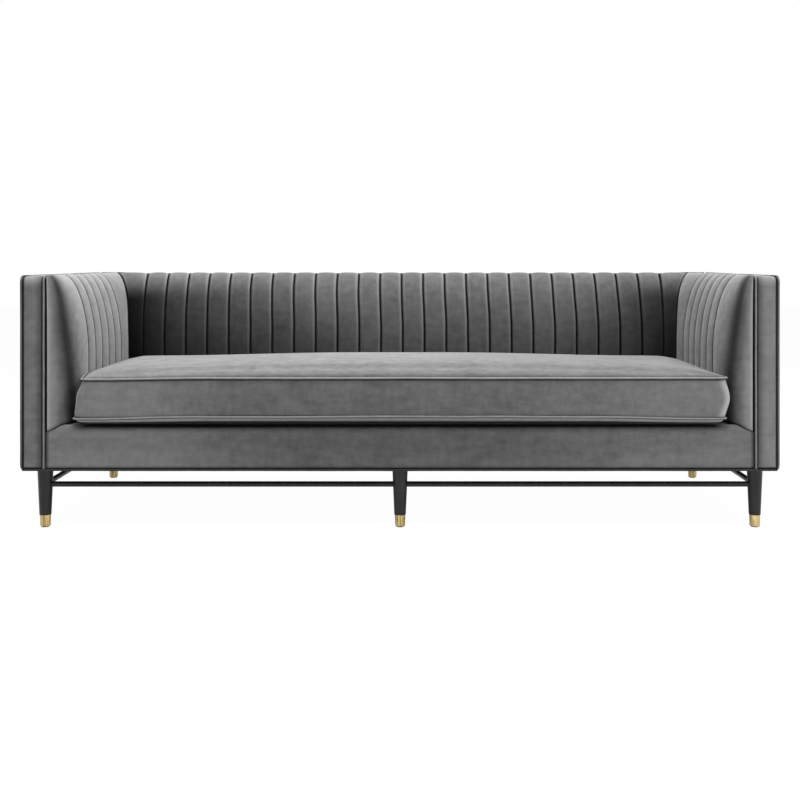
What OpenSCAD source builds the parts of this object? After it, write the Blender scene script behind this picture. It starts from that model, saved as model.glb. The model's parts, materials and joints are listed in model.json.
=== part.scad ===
// Tuxedo sofa: arms as high as the back, channel-tufted pads, one bench seat cushion,
// six tapered legs joined by round stretchers.
// The origin is on the floor under the middle of the sofa. +X runs along the width,
// +Y to the back and +Z up.

/* [Overall] */
// Width over the side welts
sofa_w = 2200; // [2000:20:2600]
// Depth from the front welt to the rear welt
sofa_d = 812; // [780:4:900]
// Height to the crown of the pads
sofa_h = 738; // [690:2:840]
// Floor to the lowest welt
floor_gap = 172; // [150:1:200]

/* [Covers and welts] */
// Cover cloth with its wadding
cover_t = 4.5; // [4.2:0.1:5.5]
// Welt cord with its cloth
welt_d = 7; // [6:0.5:8]
// How far a welt stands out of the covers beside it
welt_proud = 3; // [2.6:0.1:3.2]
// Bend of the welts at the corners of an arm
arm_corner_r = 16; // [12:1:24]
// Bend of the inner welt between arm and back
inner_corner_r = 8; // [6:1:12]
// Space between two pieces that are sewn or pressed together
seam_gap = 0.3; // [0.2:0.05:0.5]

/* [Arms and back] */
// Side of the sofa to the middle of the inner welt
arm_border_w = 69; // [62:1:80]
// Rear of the sofa to the middle of the welt on the back
back_border_w = 100; // [80:1:110]
// Pad on the inside of an arm, at its crest
arm_pad_t = 79; // [70:1:90]
// Pad on the inside of the back, at its crest
back_pad_t = 88; // [80:1:96]
// Height over which the pads roll back to the welt
pad_roll_h = 248; // [220:2:260]
// Pad thickness left at the top of the roll
pad_top_t = 5; // [4:0.5:6]
// Pad thickness at the seam along the inner welt of the arm front
pad_edge_t = 3; // [2:0.5:4]
// How far the foot of the back pad is tucked back at the deck
back_tuck = 70; // [60:1:74]
// Length of the rounded nose of an arm pad
nose_l = 130; // [110:5:150]
// Front of the sofa to the first sewn channel line of an arm
first_seam = 182; // [172:1:200]
// Channels of an arm pad between the first line and the corner
arm_channels = 6; // [5:1:7]
// Pitch of the channels of the back
back_pitch = 75.4; // [72:0.2:76]
// Depth of a channel line below the crest
channel_d = 5.5; // [4:0.5:7]
// Rise of the pads above the welt
crown_rise = 1; // [0:0.5:2]

/* [Wood frame] */
// Rails at the side of the arms
side_rail_t = 44; // [42:1:48]
// Front seat rail
front_rail_t = 36; // [34:1:40]
// Height of the seat rails
seat_rail_h = 102; // [95:1:120]
// Height of the top rails
top_rail_h = 28; // [24:1:34]
// Posts, front to back
post_d = 45; // [42:1:50]
// Boards that carry the arm pads
arm_board_t = 5; // [4:0.5:6]
// Width of the uprights of the back
stud_w = 40; // [34:1:46]
// Places of the outer uprights, from the middle
stud_x = 480; // [470:5:490]
// Height of the rail that the foot of the back pad is tacked to
tack_rail_h = 40; // [34:1:50]
// Cross rails under the springs
cross_rail_w = 32; // [28:1:34]
// Height of the cross rails
cross_rail_h = 82; // [70:1:86]
// Places of the outer cross rails, from the middle
cross_rail_x = 520; // [480:10:560]
// Corner blocks along the rails
block_l = 90; // [80:1:100]
// Height of the corner and leg blocks
block_h = 62; // [50:1:66]
// Blocks beside the cross rail at the middle legs
leg_block_w = 40; // [36:1:50]
// Leg blocks, front to back
leg_block_l = 54; // [44:1:60]
// Dowels in the rail ends
dowel_d = 10; // [8:1:12]
// Length of a dowel
dowel_l = 50; // [40:2:56]
// Distance between the two dowels of a seat rail
dowel_pitch = 50; // [40:1:56]
// Distance between the two dowels of the top rail
top_dowel_pitch = 22; // [18:1:26]

/* [Springs and sheets] */
// Spring wire
spring_wire_d = 3.8; // [3.4:0.1:4.2]
// Width of a spring across its loops
spring_w = 62; // [58:1:66]
// Springs side by side
spring_n = 12; // [10:1:12]
// Distance between springs
spring_pitch = 160; // [150:2:162]
// Loops of one spring
spring_loops = 20; // [18:2:24]
// Clips that hold the spring ends
clip_l = 20; // [16:1:22]
// Clips, front to back
clip_w = 11; // [10:0.5:12]
// Height of a clip
clip_h = 7.2; // [6.8:0.1:7.4]
// Wires that tie the springs together
tie_wire_d = 3; // [2.4:0.2:3.2]
// Place of the tie wires, from the middle of the depth
tie_wire_y = 118; // [100:2:130]
// Burlap on the springs and behind the back pad
burlap_t = 1.5; // [1:0.1:1.8]
// Webbing straps of the back
web_t = 2; // [1.6:0.1:2.4]
// Width of a strap
web_w = 50; // [40:1:60]
// Number of straps
web_n = 11; // [9:1:12]
// Pad on top of the springs
deck_pad_t = 10.7; // [9:0.1:11]
// Dust cover cloth under the frame
dust_cover_t = 1; // [0.8:0.1:1.2]

/* [Front rail pad] */
// Crest of the front rail above the floor
deck_z = 300; // [294:1:306]
// Rounding of the front rail at the top
rail_round_r = 31; // [28:1:34]

/* [Seat cushion] */
// Cushion to the crest of the back pad
cushion_back_gap = 11.2; // [6:0.2:20]
// Height of the bottom welt above the deck
cushion_low_welt = 21; // [18:1:24]
// Height of the top welt above the deck
cushion_top_welt_h = 138; // [125:1:145]
// Height of the crown above the deck
cushion_h = 181; // [170:1:190]
// Corner of the cushion in plan, at its welts
cushion_corner_r = 25; // [23:1:40]
// Cover with its fibre wrap
cushion_cover_t = 6; // [5.5:0.1:7]
// Cushion to the crest of an arm pad
cushion_gap = 0.8; // [0.5:0.1:1.5]
// How far the crown takes to level out
crown_run = 240; // [220:5:250]

/* [Zip] */
// Ends of the zip to the ends of the cushion
zip_margin = 197.4; // [150:0.2:300]
// Width of the zip tape
zip_tape_w = 28; // [24:1:32]
// Thickness of the zip tape
zip_tape_t = 1; // [0.8:0.1:1.2]
// Width of the chain of teeth
zip_chain_w = 6; // [5:0.5:7]
// Thickness of the chain of teeth
zip_chain_t = 1.6; // [1.2:0.1:1.8]
// Length of the slider
slider_l = 9; // [8:0.5:11]
// Wall of the slider
slider_wall = 1.5; // [1.2:0.1:1.8]
// Play between slider, chain, tape and tab
slider_clear = 0.3; // [0.2:0.05:0.4]
// Length of the pull tab from its pin
tab_l = 16; // [14:0.5:17]
// Width of the pull tab
tab_w = 5; // [4:0.5:5.5]
// Thickness of the pull tab
tab_t = 1.2; // [1:0.1:1.4]
// Pin of the pull tab
tab_pin_d = 1.6; // [1.4:0.1:1.8]
// Eye of the pull tab round its pin
tab_barrel_d = 3; // [2.8:0.1:3.4]
// Thickness of the lugs that hold the pin
lug_t = 1; // [0.8:0.1:1.2]

/* [Legs] */
// Leg centres from the side
leg_inset_x = 60.5; // [56:0.5:62]
// Leg centres from the front or the rear
leg_inset_y = 43; // [42:1:46]
// Tops of the legs above the lowest welt
leg_top_rise = 2.2; // [2.1:0.1:2.6]
// Leg at the top
leg_top_d = 46; // [42:1:48]
// Leg just above its ferrule
leg_foot_d = 34; // [32:1:36]
// Height of a ferrule
ferrule_h = 33; // [28:1:38]
// Ferrule at its top
ferrule_top_d = 31.5; // [30:0.5:33]
// Ferrule at its foot
ferrule_foot_d = 29; // [27:0.5:30]
// Wall of a ferrule
ferrule_wall = 1.5; // [1:0.1:2]
// Glide under the ferrule
glide_d = 22; // [20:1:24]
// Height of a glide
glide_h = 3; // [2:0.5:4]
// Nail of a glide
glide_nail_d = 3; // [2.5:0.1:3.5]
// Length of the nail
glide_nail_l = 16; // [12:1:20]
// Stretcher rods
rod_d = 16; // [14:1:17]
// Height of the rods above the floor
stretcher_z = 124.5; // [110:0.5:130]
// Depth of a rod in its socket
rod_socket = 12; // [10:1:12]
// Plate between leg and frame
plate_w = 60; // [58:1:62]
// Thickness of a plate
plate_t = 2.5; // [2:0.1:3]
// Rounded corners of a plate
plate_corner_r = 8; // [5:1:10]
// Bolt in the top of a leg
bolt_d = 8; // [6:1:8]
// Bolt below the top of the leg
bolt_in_leg = 24; // [20:1:26]
// Bolt above the underside of the frame
bolt_in_frame = 20; // [16:1:20]
// Screws of a plate
screw_d = 4; // [3.5:0.1:4.2]
// Head of a screw
screw_head_d = 7; // [6:0.1:7.4]
// Height of a screw head
screw_head_h = 2; // [1.6:0.1:2.2]
// Length of a screw from the plate up
screw_l = 26; // [22:1:30]
// Screws from the middle of the leg, both ways
screw_offset = 21; // [20.5:0.5:22]
// Play round bolts, screws, dowels and rods
hole_play = 0.1; // [0.05:0.05:0.15]

/* [Hidden] */

velvet = "#7d7e80";
velvet_dark = "#6a6b6d";
welt_grey = "#8b8c8e";
pine = "#c9a673";
steel = "#a9acb0";
jute = "#b08d5b";
black_cloth = "#202022";
black_lacquer = "#262628";
brass = "#c9a24a";
foam = "#e6dfb8";

round_fn = 48;
overrun = 1;

// Faces of the covers, of the frame and the middle lines of the welts
welt_r = welt_d / 2;
welt_in = welt_r - welt_proud;
side_x = sofa_w / 2 - welt_proud;
front_y = -sofa_d / 2 + welt_proud;
rear_y = sofa_d / 2 - welt_proud;
top_z = sofa_h - crown_rise - welt_proud;
low_z = floor_gap + welt_proud;
side_welt_x = side_x - welt_in;
front_welt_y = front_y + welt_in;
rear_welt_y = rear_y - welt_in;
top_welt_z = top_z - welt_in;
low_welt_z = low_z + welt_in;
inner_welt_x = sofa_w / 2 - arm_border_w;
back_welt_y = sofa_d / 2 - back_border_w;
welt_clear = welt_r + seam_gap;
strip_clear = welt_clear + seam_gap;
frame_x = side_x - cover_t;
frame_front = front_y + cover_t;
frame_rear = rear_y - cover_t;
frame_top = top_z - cover_t;

// Stack under the frame, from the top of a leg up to the wood
leg_top_z = floor_gap + leg_top_rise;
plate_z = leg_top_z;
dust_z = plate_z + plate_t;
frame_z = dust_z + dust_cover_t;

// Planes that the pads are built on
arm_pad_x = inner_welt_x - welt_clear;
back_pad_y = back_welt_y - welt_clear;
post_x = arm_pad_x + arm_board_t;
back_frame_y = back_pad_y + burlap_t + web_t;
seat_rail_top = frame_z + seat_rail_h;
rail_pad_back = front_y + rail_round_r;
front_rail_back = frame_front + post_d - seam_gap;
rear_rail_front = -front_rail_back;
stud_top = frame_top - top_rail_h;

// Springs, clips and sheets of the seat
clip_y = front_rail_back - front_rail_t / 4;
wire_z = seat_rail_top + clip_h / 2;
deck_burlap_z = seat_rail_top + clip_h + seam_gap;
deck_pad_z = deck_z - deck_pad_t;
tack_rail_z = deck_burlap_z + burlap_t + 2 * seam_gap;

// Roll of the pads: both start to roll at the same height and share their rows
roll_z = sofa_h - pad_roll_h;
low_row_shares = [1, 0.8, 0.6, 0.4, 0.2];
roll_row_shares = [0, 0.25, 0.45, 0.62, 0.76, 0.87, 0.95, 1];
arm_roll_share = 0.992;
back_roll_share = 0.978;
nose_step = 7.5;
nose_angles = [0 : nose_step : 90];
channel_steps_share = [0.25, 0.5, 0.75];
channel_bulge_share = 0.22;
pad_top_drop = pad_edge_t;

// Legs
leg_x = sofa_w / 2 - leg_inset_x;
leg_y = sofa_d / 2 - leg_inset_y;
ferrule_z = glide_h;
ferrule_top_z = ferrule_z + ferrule_h;
leg_places = [[-leg_x, -leg_y], [0, -leg_y], [leg_x, -leg_y], [-leg_x, leg_y], [0, leg_y], [leg_x, leg_y]];
leg_taper = (leg_top_d - leg_foot_d) / (leg_top_z - ferrule_top_z);
leg_r_at_rod = (leg_foot_d + leg_taper * (stretcher_z - ferrule_top_z)) / 2;

// Cushion
cushion_x = arm_pad_x - arm_pad_t - cushion_gap;
cushion_y0 = -sofa_d / 2;
cushion_y1 = back_pad_y - back_pad_t - cushion_back_gap;
cushion_d = cushion_y1 - cushion_y0;
cushion_z = deck_z + seam_gap;
cushion_low_z = deck_z + cushion_low_welt;
cushion_top_z = deck_z + cushion_top_welt_h;
cushion_crown_z = deck_z + cushion_h;
boxing_y = cushion_y1 - welt_proud;
boxing_mid_z = (cushion_low_z + cushion_top_z) / 2;
cushion_spread_share = 0.1;
low_run_shares = [0.36, 0.16, 0.05];
low_rise_shares = [0, 0.15, 0.5];
top_run_shares = [0.06, 0.17, 0.38, 0.66, 1];
top_rise_shares = [0.25, 0.5, 0.76, 0.93, 1];

// Zip
zip_l = 2 * (cushion_x - zip_margin);
chain_y = boxing_y + zip_tape_t;
chain_top_y = chain_y + zip_chain_t;
slider_top_y = chain_top_y + slider_clear + slider_wall;
tab_axis_y = slider_top_y + slider_clear + tab_barrel_d / 2;
slider_x = zip_l / 2 - 5 * slider_l;
slider_w = zip_chain_w + 2 * slider_clear + 2 * slider_wall;
lug_z = slider_w / 2 - lug_t - 2 * slider_clear;

function clip_round(r, d) = r - sqrt(max(0, r * r - (r - d) * (r - d)));

// Top of the front rail pad, and top of the arm, at a distance d behind the front face
function rail_top(d) = d < rail_round_r ? deck_z - clip_round(rail_round_r, d) : deck_z;
function pad_top(d) = d < arm_corner_r ? sofa_h - clip_round(arm_corner_r, d) : sofa_h;

function roll_depth(thick, share) = (thick - pad_top_t) / (1 - sqrt(1 - share * share));

// One row of a pad: [thickness, height]
function low_row(w, thick, tuck, dip, z0) = [
    thick - dip - tuck * (1 - sqrt(1 - w * w)),
    roll_z - w * (roll_z - z0)
];
function roll_row(s, thick, share, dip, z1) = let (a = roll_depth(thick, share)) [
    thick - a + (a - dip) * sqrt(1 - share * share * s * s),
    roll_z + (z1 - roll_z - dip) * s
];
function pad_rows(thick, share, tuck, dip, z0, z1) = concat(
    [for (w = low_row_shares) low_row(w, thick, tuck, dip, z0)],
    [for (s = roll_row_shares) roll_row(s, thick, share, dip, z1)]
);
function arm_rows(dip, z0, z1) = pad_rows(arm_pad_t, arm_roll_share, 0, dip, z0, z1);
function back_rows(dip) =
    pad_rows(back_pad_t, back_roll_share, back_tuck, dip, deck_z + 2 * seam_gap, sofa_h);

row_n = len(low_row_shares) + len(roll_row_shares);
loop_n = row_n + 2;

// Faces between closed loops of points, one after the other
function skin_faces(loops, n) = [
    for (i = [0 : loops - 2], j = [0 : n - 1])
        let (a = i * n + j, b = i * n + (j + 1) % n)
        each [[a, a + n, b], [b, a + n, b + n]]
];
// A pad's end is a fan from the foot of its back edge, so two pads that meet share it
function fan_faces(first, n, flip) = [
    for (j = [0 : n - 3])
        flip ? [first + n - 1, first + j + 1, first + j] : [first + n - 1, first + j, first + j + 1]
];

// Sewn pads: loops of rows, closed by two points on the back plane
module pad_solid(loops) {
    n = len(loops[0]);
    polyhedron(
        points = [for (loop = loops) each loop],
        faces = concat(
            skin_faces(len(loops), n),
            fan_faces(0, n, false),
            fan_faces((len(loops) - 1) * n, n, true)
        ),
        convexity = 6
    );
}

// Corner line where the valley of the arm pad meets the valley of the back pad
corner_arm_rows = arm_rows(channel_d, deck_z + 2 * seam_gap, sofa_h);
corner_back_rows = back_rows(channel_d);
corner_y = back_pad_y - back_pad_t + channel_d;
arm_pitch = (corner_y - front_y - first_seam) / arm_channels;

function arm_loop(y, nose, dip) = let (
    d = y - front_y,
    z0 = rail_top(d) + 2 * seam_gap,
    z1 = pad_top(d),
    rows = arm_rows(dip, z0, z1)
) concat(
    [for (p = rows) [arm_pad_x - pad_edge_t - (p[0] - pad_edge_t) * nose, y, p[1]]],
    [[arm_pad_x, y, z1 - dip - pad_top_drop], [arm_pad_x, y, z0]]
);
function arm_corner_loop() = concat(
    [
        for (j = [0 : row_n - 1])
            [arm_pad_x - corner_arm_rows[j][0], back_pad_y - corner_back_rows[j][0] - 2 * seam_gap,
                corner_arm_rows[j][1]]
    ],
    [
        [arm_pad_x, back_pad_y - 2 * seam_gap, sofa_h - channel_d - pad_top_drop],
        [arm_pad_x, back_pad_y - 2 * seam_gap, deck_z + 2 * seam_gap]
    ]
);
nose_y0 = front_y + welt_proud;
seam_y0 = front_y + first_seam;
arm_loops = concat(
    [for (a = nose_angles) arm_loop(nose_y0 + nose_l * (1 - cos(a)), sin(a), 0)],
    [
        arm_loop((nose_y0 + nose_l + seam_y0) / 2, 1, channel_d * channel_bulge_share),
        arm_loop(seam_y0, 1, channel_d)
    ],
    [
        for (c = [0 : arm_channels - 1]) each concat(
            [
                for (w = channel_steps_share)
                    arm_loop(
                        seam_y0 + (c + w) * arm_pitch, 1,
                        w == channel_steps_share[1] ? 0 : channel_d * channel_bulge_share
                    )
            ],
            c < arm_channels - 1 ? [arm_loop(seam_y0 + (c + 1) * arm_pitch, 1, channel_d)] : []
        )
    ],
    [arm_corner_loop()]
);

// Back pad: even channels, then a wider one at each end that runs into the corner
seam_x = floor((arm_pad_x - arm_pad_t) / back_pitch) * back_pitch;
back_half_n = round(seam_x / back_pitch);

function back_loop(x, dip) = concat(
    [for (p = back_rows(dip)) [x, back_pad_y - p[0], p[1]]],
    [[x, back_pad_y, sofa_h - dip - pad_top_drop], [x, back_pad_y, deck_z + 2 * seam_gap]]
);
function back_corner_x(j) = arm_pad_x - corner_arm_rows[j][0];
function back_end_loop(w, dip) = let (rows = back_rows(dip)) concat(
    [
        for (j = [0 : row_n - 1])
            [seam_x + (back_corner_x(j) - seam_x) * w, back_pad_y - rows[j][0], rows[j][1]]
    ],
    [
        [seam_x + (arm_pad_x - seam_x) * w, back_pad_y, sofa_h - dip - pad_top_drop],
        [seam_x + (arm_pad_x - seam_x) * w, back_pad_y, deck_z + 2 * seam_gap]
    ]
);
back_half_loops = concat(
    [
        for (c = [0 : back_half_n - 1]) each concat(
            [back_loop(c * back_pitch, channel_d)],
            [
                for (w = channel_steps_share)
                    back_loop(
                        (c + w) * back_pitch,
                        w == channel_steps_share[1] ? 0 : channel_d * channel_bulge_share
                    )
            ]
        )
    ],
    [back_loop(seam_x, channel_d)],
    [
        for (w = channel_steps_share)
            back_end_loop(w, w == channel_steps_share[1] ? 0 : channel_d * channel_bulge_share)
    ],
    [back_end_loop(1, channel_d)]
);
function flip_x(loop) = [for (p = loop) [-p[0], p[1], p[2]]];
back_loops = concat(
    [for (i = [len(back_half_loops) - 1 : -1 : 1]) back_half_loops[i]],
    [for (loop = back_half_loops) flip_x(loop)]
);

// Small helpers
module both_sides() {
    children();
    mirror([1, 0, 0]) children();
}
module both_ends() {
    children();
    mirror([0, 1, 0]) children();
}
module box(x0, x1, y0, y1, z0, z1) {
    translate([x0, y0, z0]) cube([x1 - x0, y1 - y0, z1 - z0]);
}
module rod_x(x0, x1, y, z, d) {
    translate([x0, y, z]) rotate([0, 90, 0]) cylinder(h = x1 - x0, d = d, $fn = round_fn);
}
module rod_y(y0, y1, x, z, d) {
    translate([x, y1, z]) rotate([90, 0, 0]) cylinder(h = y1 - y0, d = d, $fn = round_fn);
}
module rod_z(z0, z1, x, y, d) {
    translate([x, y, z0]) cylinder(h = z1 - z0, d = d, $fn = round_fn);
}
module quarter_bend(r, d) {
    rotate_extrude(angle = 90, $fn = round_fn) translate([r, 0]) circle(d = d, $fn = round_fn);
}
// Closed rounded rectangle of cord in the XY plane, centred on the origin
module cord_loop(w, h, r, d) {
    for (s = [0, 1]) rotate(180 * s) {
        rod_x(-w / 2 + r, w / 2 - r, h / 2, 0, d);
        rod_y(-h / 2 + r, h / 2 - r, w / 2, 0, d);
        translate([w / 2 - r, h / 2 - r, 0]) quarter_bend(r, d);
        translate([w / 2 - r, -h / 2 + r, 0]) rotate(-90) quarter_bend(r, d);
    }
}
// Side view of a rounded rectangle from (y0, z0) to (y1, z1), extruded along X
module side_plate(x0, x1, y0, y1, z0, z1, r) {
    translate([x0, 0, 0]) rotate([90, 0, 90]) linear_extrude(x1 - x0) union() {
        translate([y0 + r, z0]) square([y1 - y0 - 2 * r, z1 - z0]);
        translate([y0, z0 + r]) square([y1 - y0, z1 - z0 - 2 * r]);
        for (y = [y0 + r, y1 - r], z = [z0 + r, z1 - r]) translate([y, z]) circle(r, $fn = round_fn);
    }
}
// Rounds the front top edge of wood or cover that lies behind the welt's bend
module front_top_round(r, y, z, x0, x1) {
    translate([x0, 0, 0]) rotate([90, 0, 90]) linear_extrude(x1 - x0) difference() {
        translate([y - overrun, z - r]) square([r + overrun, r + overrun]);
        translate([y + r, z - r]) circle(r, $fn = round_fn);
    }
}

// Bolt and screw places of a leg
module at_legs() {
    for (p = leg_places) translate([p[0], p[1], 0]) children();
}
module at_screws() {
    for (x = [-screw_offset, screw_offset], y = [-screw_offset, screw_offset])
        translate([x, y, 0]) children();
}
module leg_drill() {
    at_legs() {
        rod_z(dust_z - overrun, frame_z + bolt_in_frame + seam_gap, 0, 0, bolt_d + 2 * hole_play);
        at_screws() rod_z(dust_z - overrun, plate_z + screw_l + seam_gap, 0, 0, screw_d + 2 * hole_play);
    }
}

// Dowel places: [x, y, z] on the joint plane of the right side
seat_dowel_z = frame_z + seat_rail_h / 2;
top_dowel_y = frame_rear - post_d / 2;
dowel_places = concat(
    [
        for (s = [-1, 1], z = [-dowel_pitch / 2, dowel_pitch / 2])
            [post_x, s * (front_rail_back - front_rail_t / 2), seat_dowel_z + z]
    ],
    [for (s = [-1, 1]) [post_x, top_dowel_y + s * top_dowel_pitch / 2, frame_top - top_rail_h / 2]]
);
module dowels(play) {
    both_sides() for (p = dowel_places)
        rod_x(p[0] - dowel_l / 2 - play, p[0] + dowel_l / 2 + play, p[1], p[2], dowel_d + 2 * play);
}

// Wood frame
module front_seat_rail() {
    color(pine) difference() {
        box(-post_x, post_x, front_rail_back - front_rail_t, front_rail_back, frame_z, seat_rail_top);
        leg_drill();
        dowels(hole_play);
    }
}
module rear_seat_rail() {
    color(pine) difference() {
        box(-post_x, post_x, rear_rail_front, frame_rear, frame_z, seat_rail_top);
        leg_drill();
        dowels(hole_play);
    }
}
module side_seat_rails() {
    color(pine) both_sides() difference() {
        box(post_x, post_x + side_rail_t, frame_front + post_d, frame_rear - post_d, frame_z, seat_rail_top);
        leg_drill();
    }
}
module seat_cross_rails() {
    color(pine) for (x = [-cross_rail_x, 0, cross_rail_x])
        box(x - cross_rail_w / 2, x + cross_rail_w / 2, front_rail_back, rear_rail_front, frame_z,
            frame_z + cross_rail_h);
}
module corner_blocks() {
    color(pine) both_ends() both_sides() difference() {
        translate([post_x, front_rail_back, frame_z]) linear_extrude(block_h)
            polygon([[0, 0], [-block_l, 0], [0, block_l]]);
        leg_drill();
    }
}
module leg_blocks() {
    color(pine) both_ends() both_sides() difference() {
        box(cross_rail_w / 2, cross_rail_w / 2 + leg_block_w, front_rail_back,
            front_rail_back + leg_block_l, frame_z, frame_z + block_h);
        leg_drill();
    }
}
module arm_front_posts() {
    color(pine) both_sides() difference() {
        box(post_x, frame_x, frame_front, frame_front + post_d, frame_z, frame_top);
        front_top_round(arm_corner_r - cover_t, frame_front, frame_top, post_x - overrun, frame_x + overrun);
        leg_drill();
        dowels(hole_play);
    }
}
module rear_posts() {
    color(pine) both_sides() difference() {
        box(post_x, frame_x, frame_rear - post_d, frame_rear, frame_z, frame_top);
        leg_drill();
        dowels(hole_play);
    }
}
module arm_top_rails() {
    color(pine) both_sides()
        box(post_x, frame_x, frame_front + post_d, frame_rear - post_d, stud_top, frame_top);
}
module arm_inner_boards() {
    color(pine) both_sides() difference() {
        box(arm_pad_x, post_x, frame_front, back_pad_y, deck_z + seam_gap, frame_top);
        front_top_round(arm_corner_r - cover_t, frame_front, frame_top, arm_pad_x - overrun,
            post_x + overrun);
    }
}
module back_top_rail() {
    color(pine) difference() {
        box(-post_x, post_x, back_frame_y, frame_rear, stud_top, frame_top);
        dowels(hole_play);
    }
}
module back_tack_rail() {
    color(pine)
        box(-post_x, post_x, back_frame_y, rear_rail_front, tack_rail_z, tack_rail_z + tack_rail_h);
}
module back_studs() {
    color(pine) for (x = [-stud_x, 0, stud_x])
        box(x - stud_w / 2, x + stud_w / 2, rear_rail_front, frame_rear, seat_rail_top, stud_top);
}
module frame_dowels() {
    color(pine) dowels(0);
}

// Sheets and straps of the back
web_pitch = 2 * seam_x / web_n;
module back_webbing() {
    color(jute) for (i = [0 : web_n - 1])
        box(-seam_x + (i + 1 / 2) * web_pitch - web_w / 2, -seam_x + (i + 1 / 2) * web_pitch + web_w / 2,
            back_frame_y - web_t, back_frame_y, tack_rail_z, frame_top);
}
module back_burlap() {
    color(jute)
        box(-arm_pad_x, arm_pad_x, back_pad_y, back_pad_y + burlap_t, tack_rail_z, frame_top);
}

// Sinuous springs, from the front rail to the rear rail. One spring is one outline:
// along the left edge of the wire to its far end, and back along the right edge.
spring_r = -clip_y / spring_loops;
spring_bar = spring_w - 2 * spring_r - spring_wire_d;
bend_step = 45;
function spring_edge(side) = concat(
    [[-spring_bar / 2, clip_y + side * spring_wire_d / 2]],
    [
        for (i = [0 : spring_loops - 1], a = [-90 : bend_step : 90])
            let (turn = i % 2 == 0 ? 1 : -1, r = spring_r - turn * side * spring_wire_d / 2)
            [turn * (spring_bar / 2 + r * cos(a)), clip_y + spring_r * (2 * i + 1) + r * sin(a)]
    ],
    [
        let (way = spring_loops % 2 == 0 ? 1 : -1)
        [way * spring_bar / 2, -clip_y + way * side * spring_wire_d / 2]
    ]
);
function backwards(points) = [for (i = [len(points) - 1 : -1 : 0]) points[i]];
module seat_spring() {
    translate([0, 0, -spring_wire_d / 2]) linear_extrude(spring_wire_d)
        polygon(concat(spring_edge(1), backwards(spring_edge(-1))));
}
spring_places = [for (i = [0 : spring_n - 1]) (i - (spring_n - 1) / 2) * spring_pitch];
module seat_springs() {
    color(steel) for (x = spring_places) translate([x, 0, wire_z]) seat_spring();
}
module spring_clips() {
    color(steel) both_ends() for (x = spring_places) difference() {
        box(x - clip_l / 2, x + clip_l / 2, clip_y - clip_w / 2, clip_y + clip_w / 2, seat_rail_top,
            seat_rail_top + clip_h);
        box(x - clip_l / 2 - overrun, x + clip_l / 2 + overrun, clip_y - spring_wire_d / 2 - hole_play,
            clip_y + spring_wire_d / 2 + hole_play, wire_z - spring_wire_d / 2 - hole_play,
            wire_z + spring_wire_d / 2 + hole_play);
    }
}
module spring_tie_wires() {
    color(steel) for (s = [-1, 1])
        rod_x(-post_x, post_x, s * tie_wire_y, wire_z - spring_wire_d / 2 - tie_wire_d / 2, tie_wire_d);
}
module deck_burlap() {
    color(jute)
        box(-arm_pad_x, arm_pad_x, rail_pad_back + seam_gap, back_frame_y, deck_burlap_z,
            deck_burlap_z + burlap_t);
}
module deck_pad() {
    color(velvet_dark)
        box(-arm_pad_x, arm_pad_x, rail_pad_back + seam_gap, back_pad_y, deck_pad_z, deck_z);
}
module dust_cover() {
    color(black_cloth) difference() {
        box(-frame_x, frame_x, frame_front, frame_rear, dust_z, frame_z);
        at_legs() {
            rod_z(dust_z - overrun, frame_z + overrun, 0, 0, bolt_d + 2 * hole_play);
            at_screws() rod_z(dust_z - overrun, frame_z + overrun, 0, 0, screw_d + 2 * hole_play);
        }
    }
}

// Outer covers
module outer_back_cover() {
    color(velvet)
        box(-side_welt_x + strip_clear, side_welt_x - strip_clear, frame_rear, rear_y,
            low_welt_z + welt_clear, top_welt_z - welt_clear);
}
module right_outer_arm_cover() {
    color(velvet)
        side_plate(frame_x, side_x, front_welt_y + welt_clear, rear_welt_y - welt_clear,
            low_welt_z + welt_clear, top_welt_z - welt_clear, arm_corner_r - welt_clear);
}
module left_outer_arm_cover() {
    mirror([1, 0, 0]) right_outer_arm_cover();
}
module right_border_strip() {
    x0 = inner_welt_x + welt_clear;
    x1 = side_welt_x - strip_clear;
    color(velvet) translate([x0, 0, 0]) rotate([90, 0, 90]) linear_extrude(x1 - x0) difference() {
        union() {
            translate([front_y, low_welt_z + welt_clear])
                square([arm_corner_r, top_z - low_welt_z - welt_clear - arm_corner_r]);
            translate([front_y + arm_corner_r, top_z - arm_corner_r])
                square([rear_welt_y - strip_clear - front_y - arm_corner_r, arm_corner_r]);
            translate([front_y + arm_corner_r, top_z - arm_corner_r])
                circle(arm_corner_r, $fn = round_fn);
        }
        translate([frame_front, low_z])
            square([frame_rear - frame_front + cover_t, frame_top - low_z - arm_corner_r + cover_t]);
        translate([frame_front + arm_corner_r - cover_t, frame_top - arm_corner_r])
            square([frame_rear - frame_front, arm_corner_r]);
        translate([frame_front + arm_corner_r - cover_t, frame_top - arm_corner_r + cover_t])
            circle(arm_corner_r - cover_t, $fn = round_fn);
    }
}
module left_border_strip() {
    mirror([1, 0, 0]) right_border_strip();
}
module back_top_strip() {
    color(velvet)
        box(-inner_welt_x - welt_clear + seam_gap, inner_welt_x + welt_clear - seam_gap,
            back_welt_y + welt_clear, rear_welt_y - strip_clear, frame_top, top_z);
}

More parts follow.
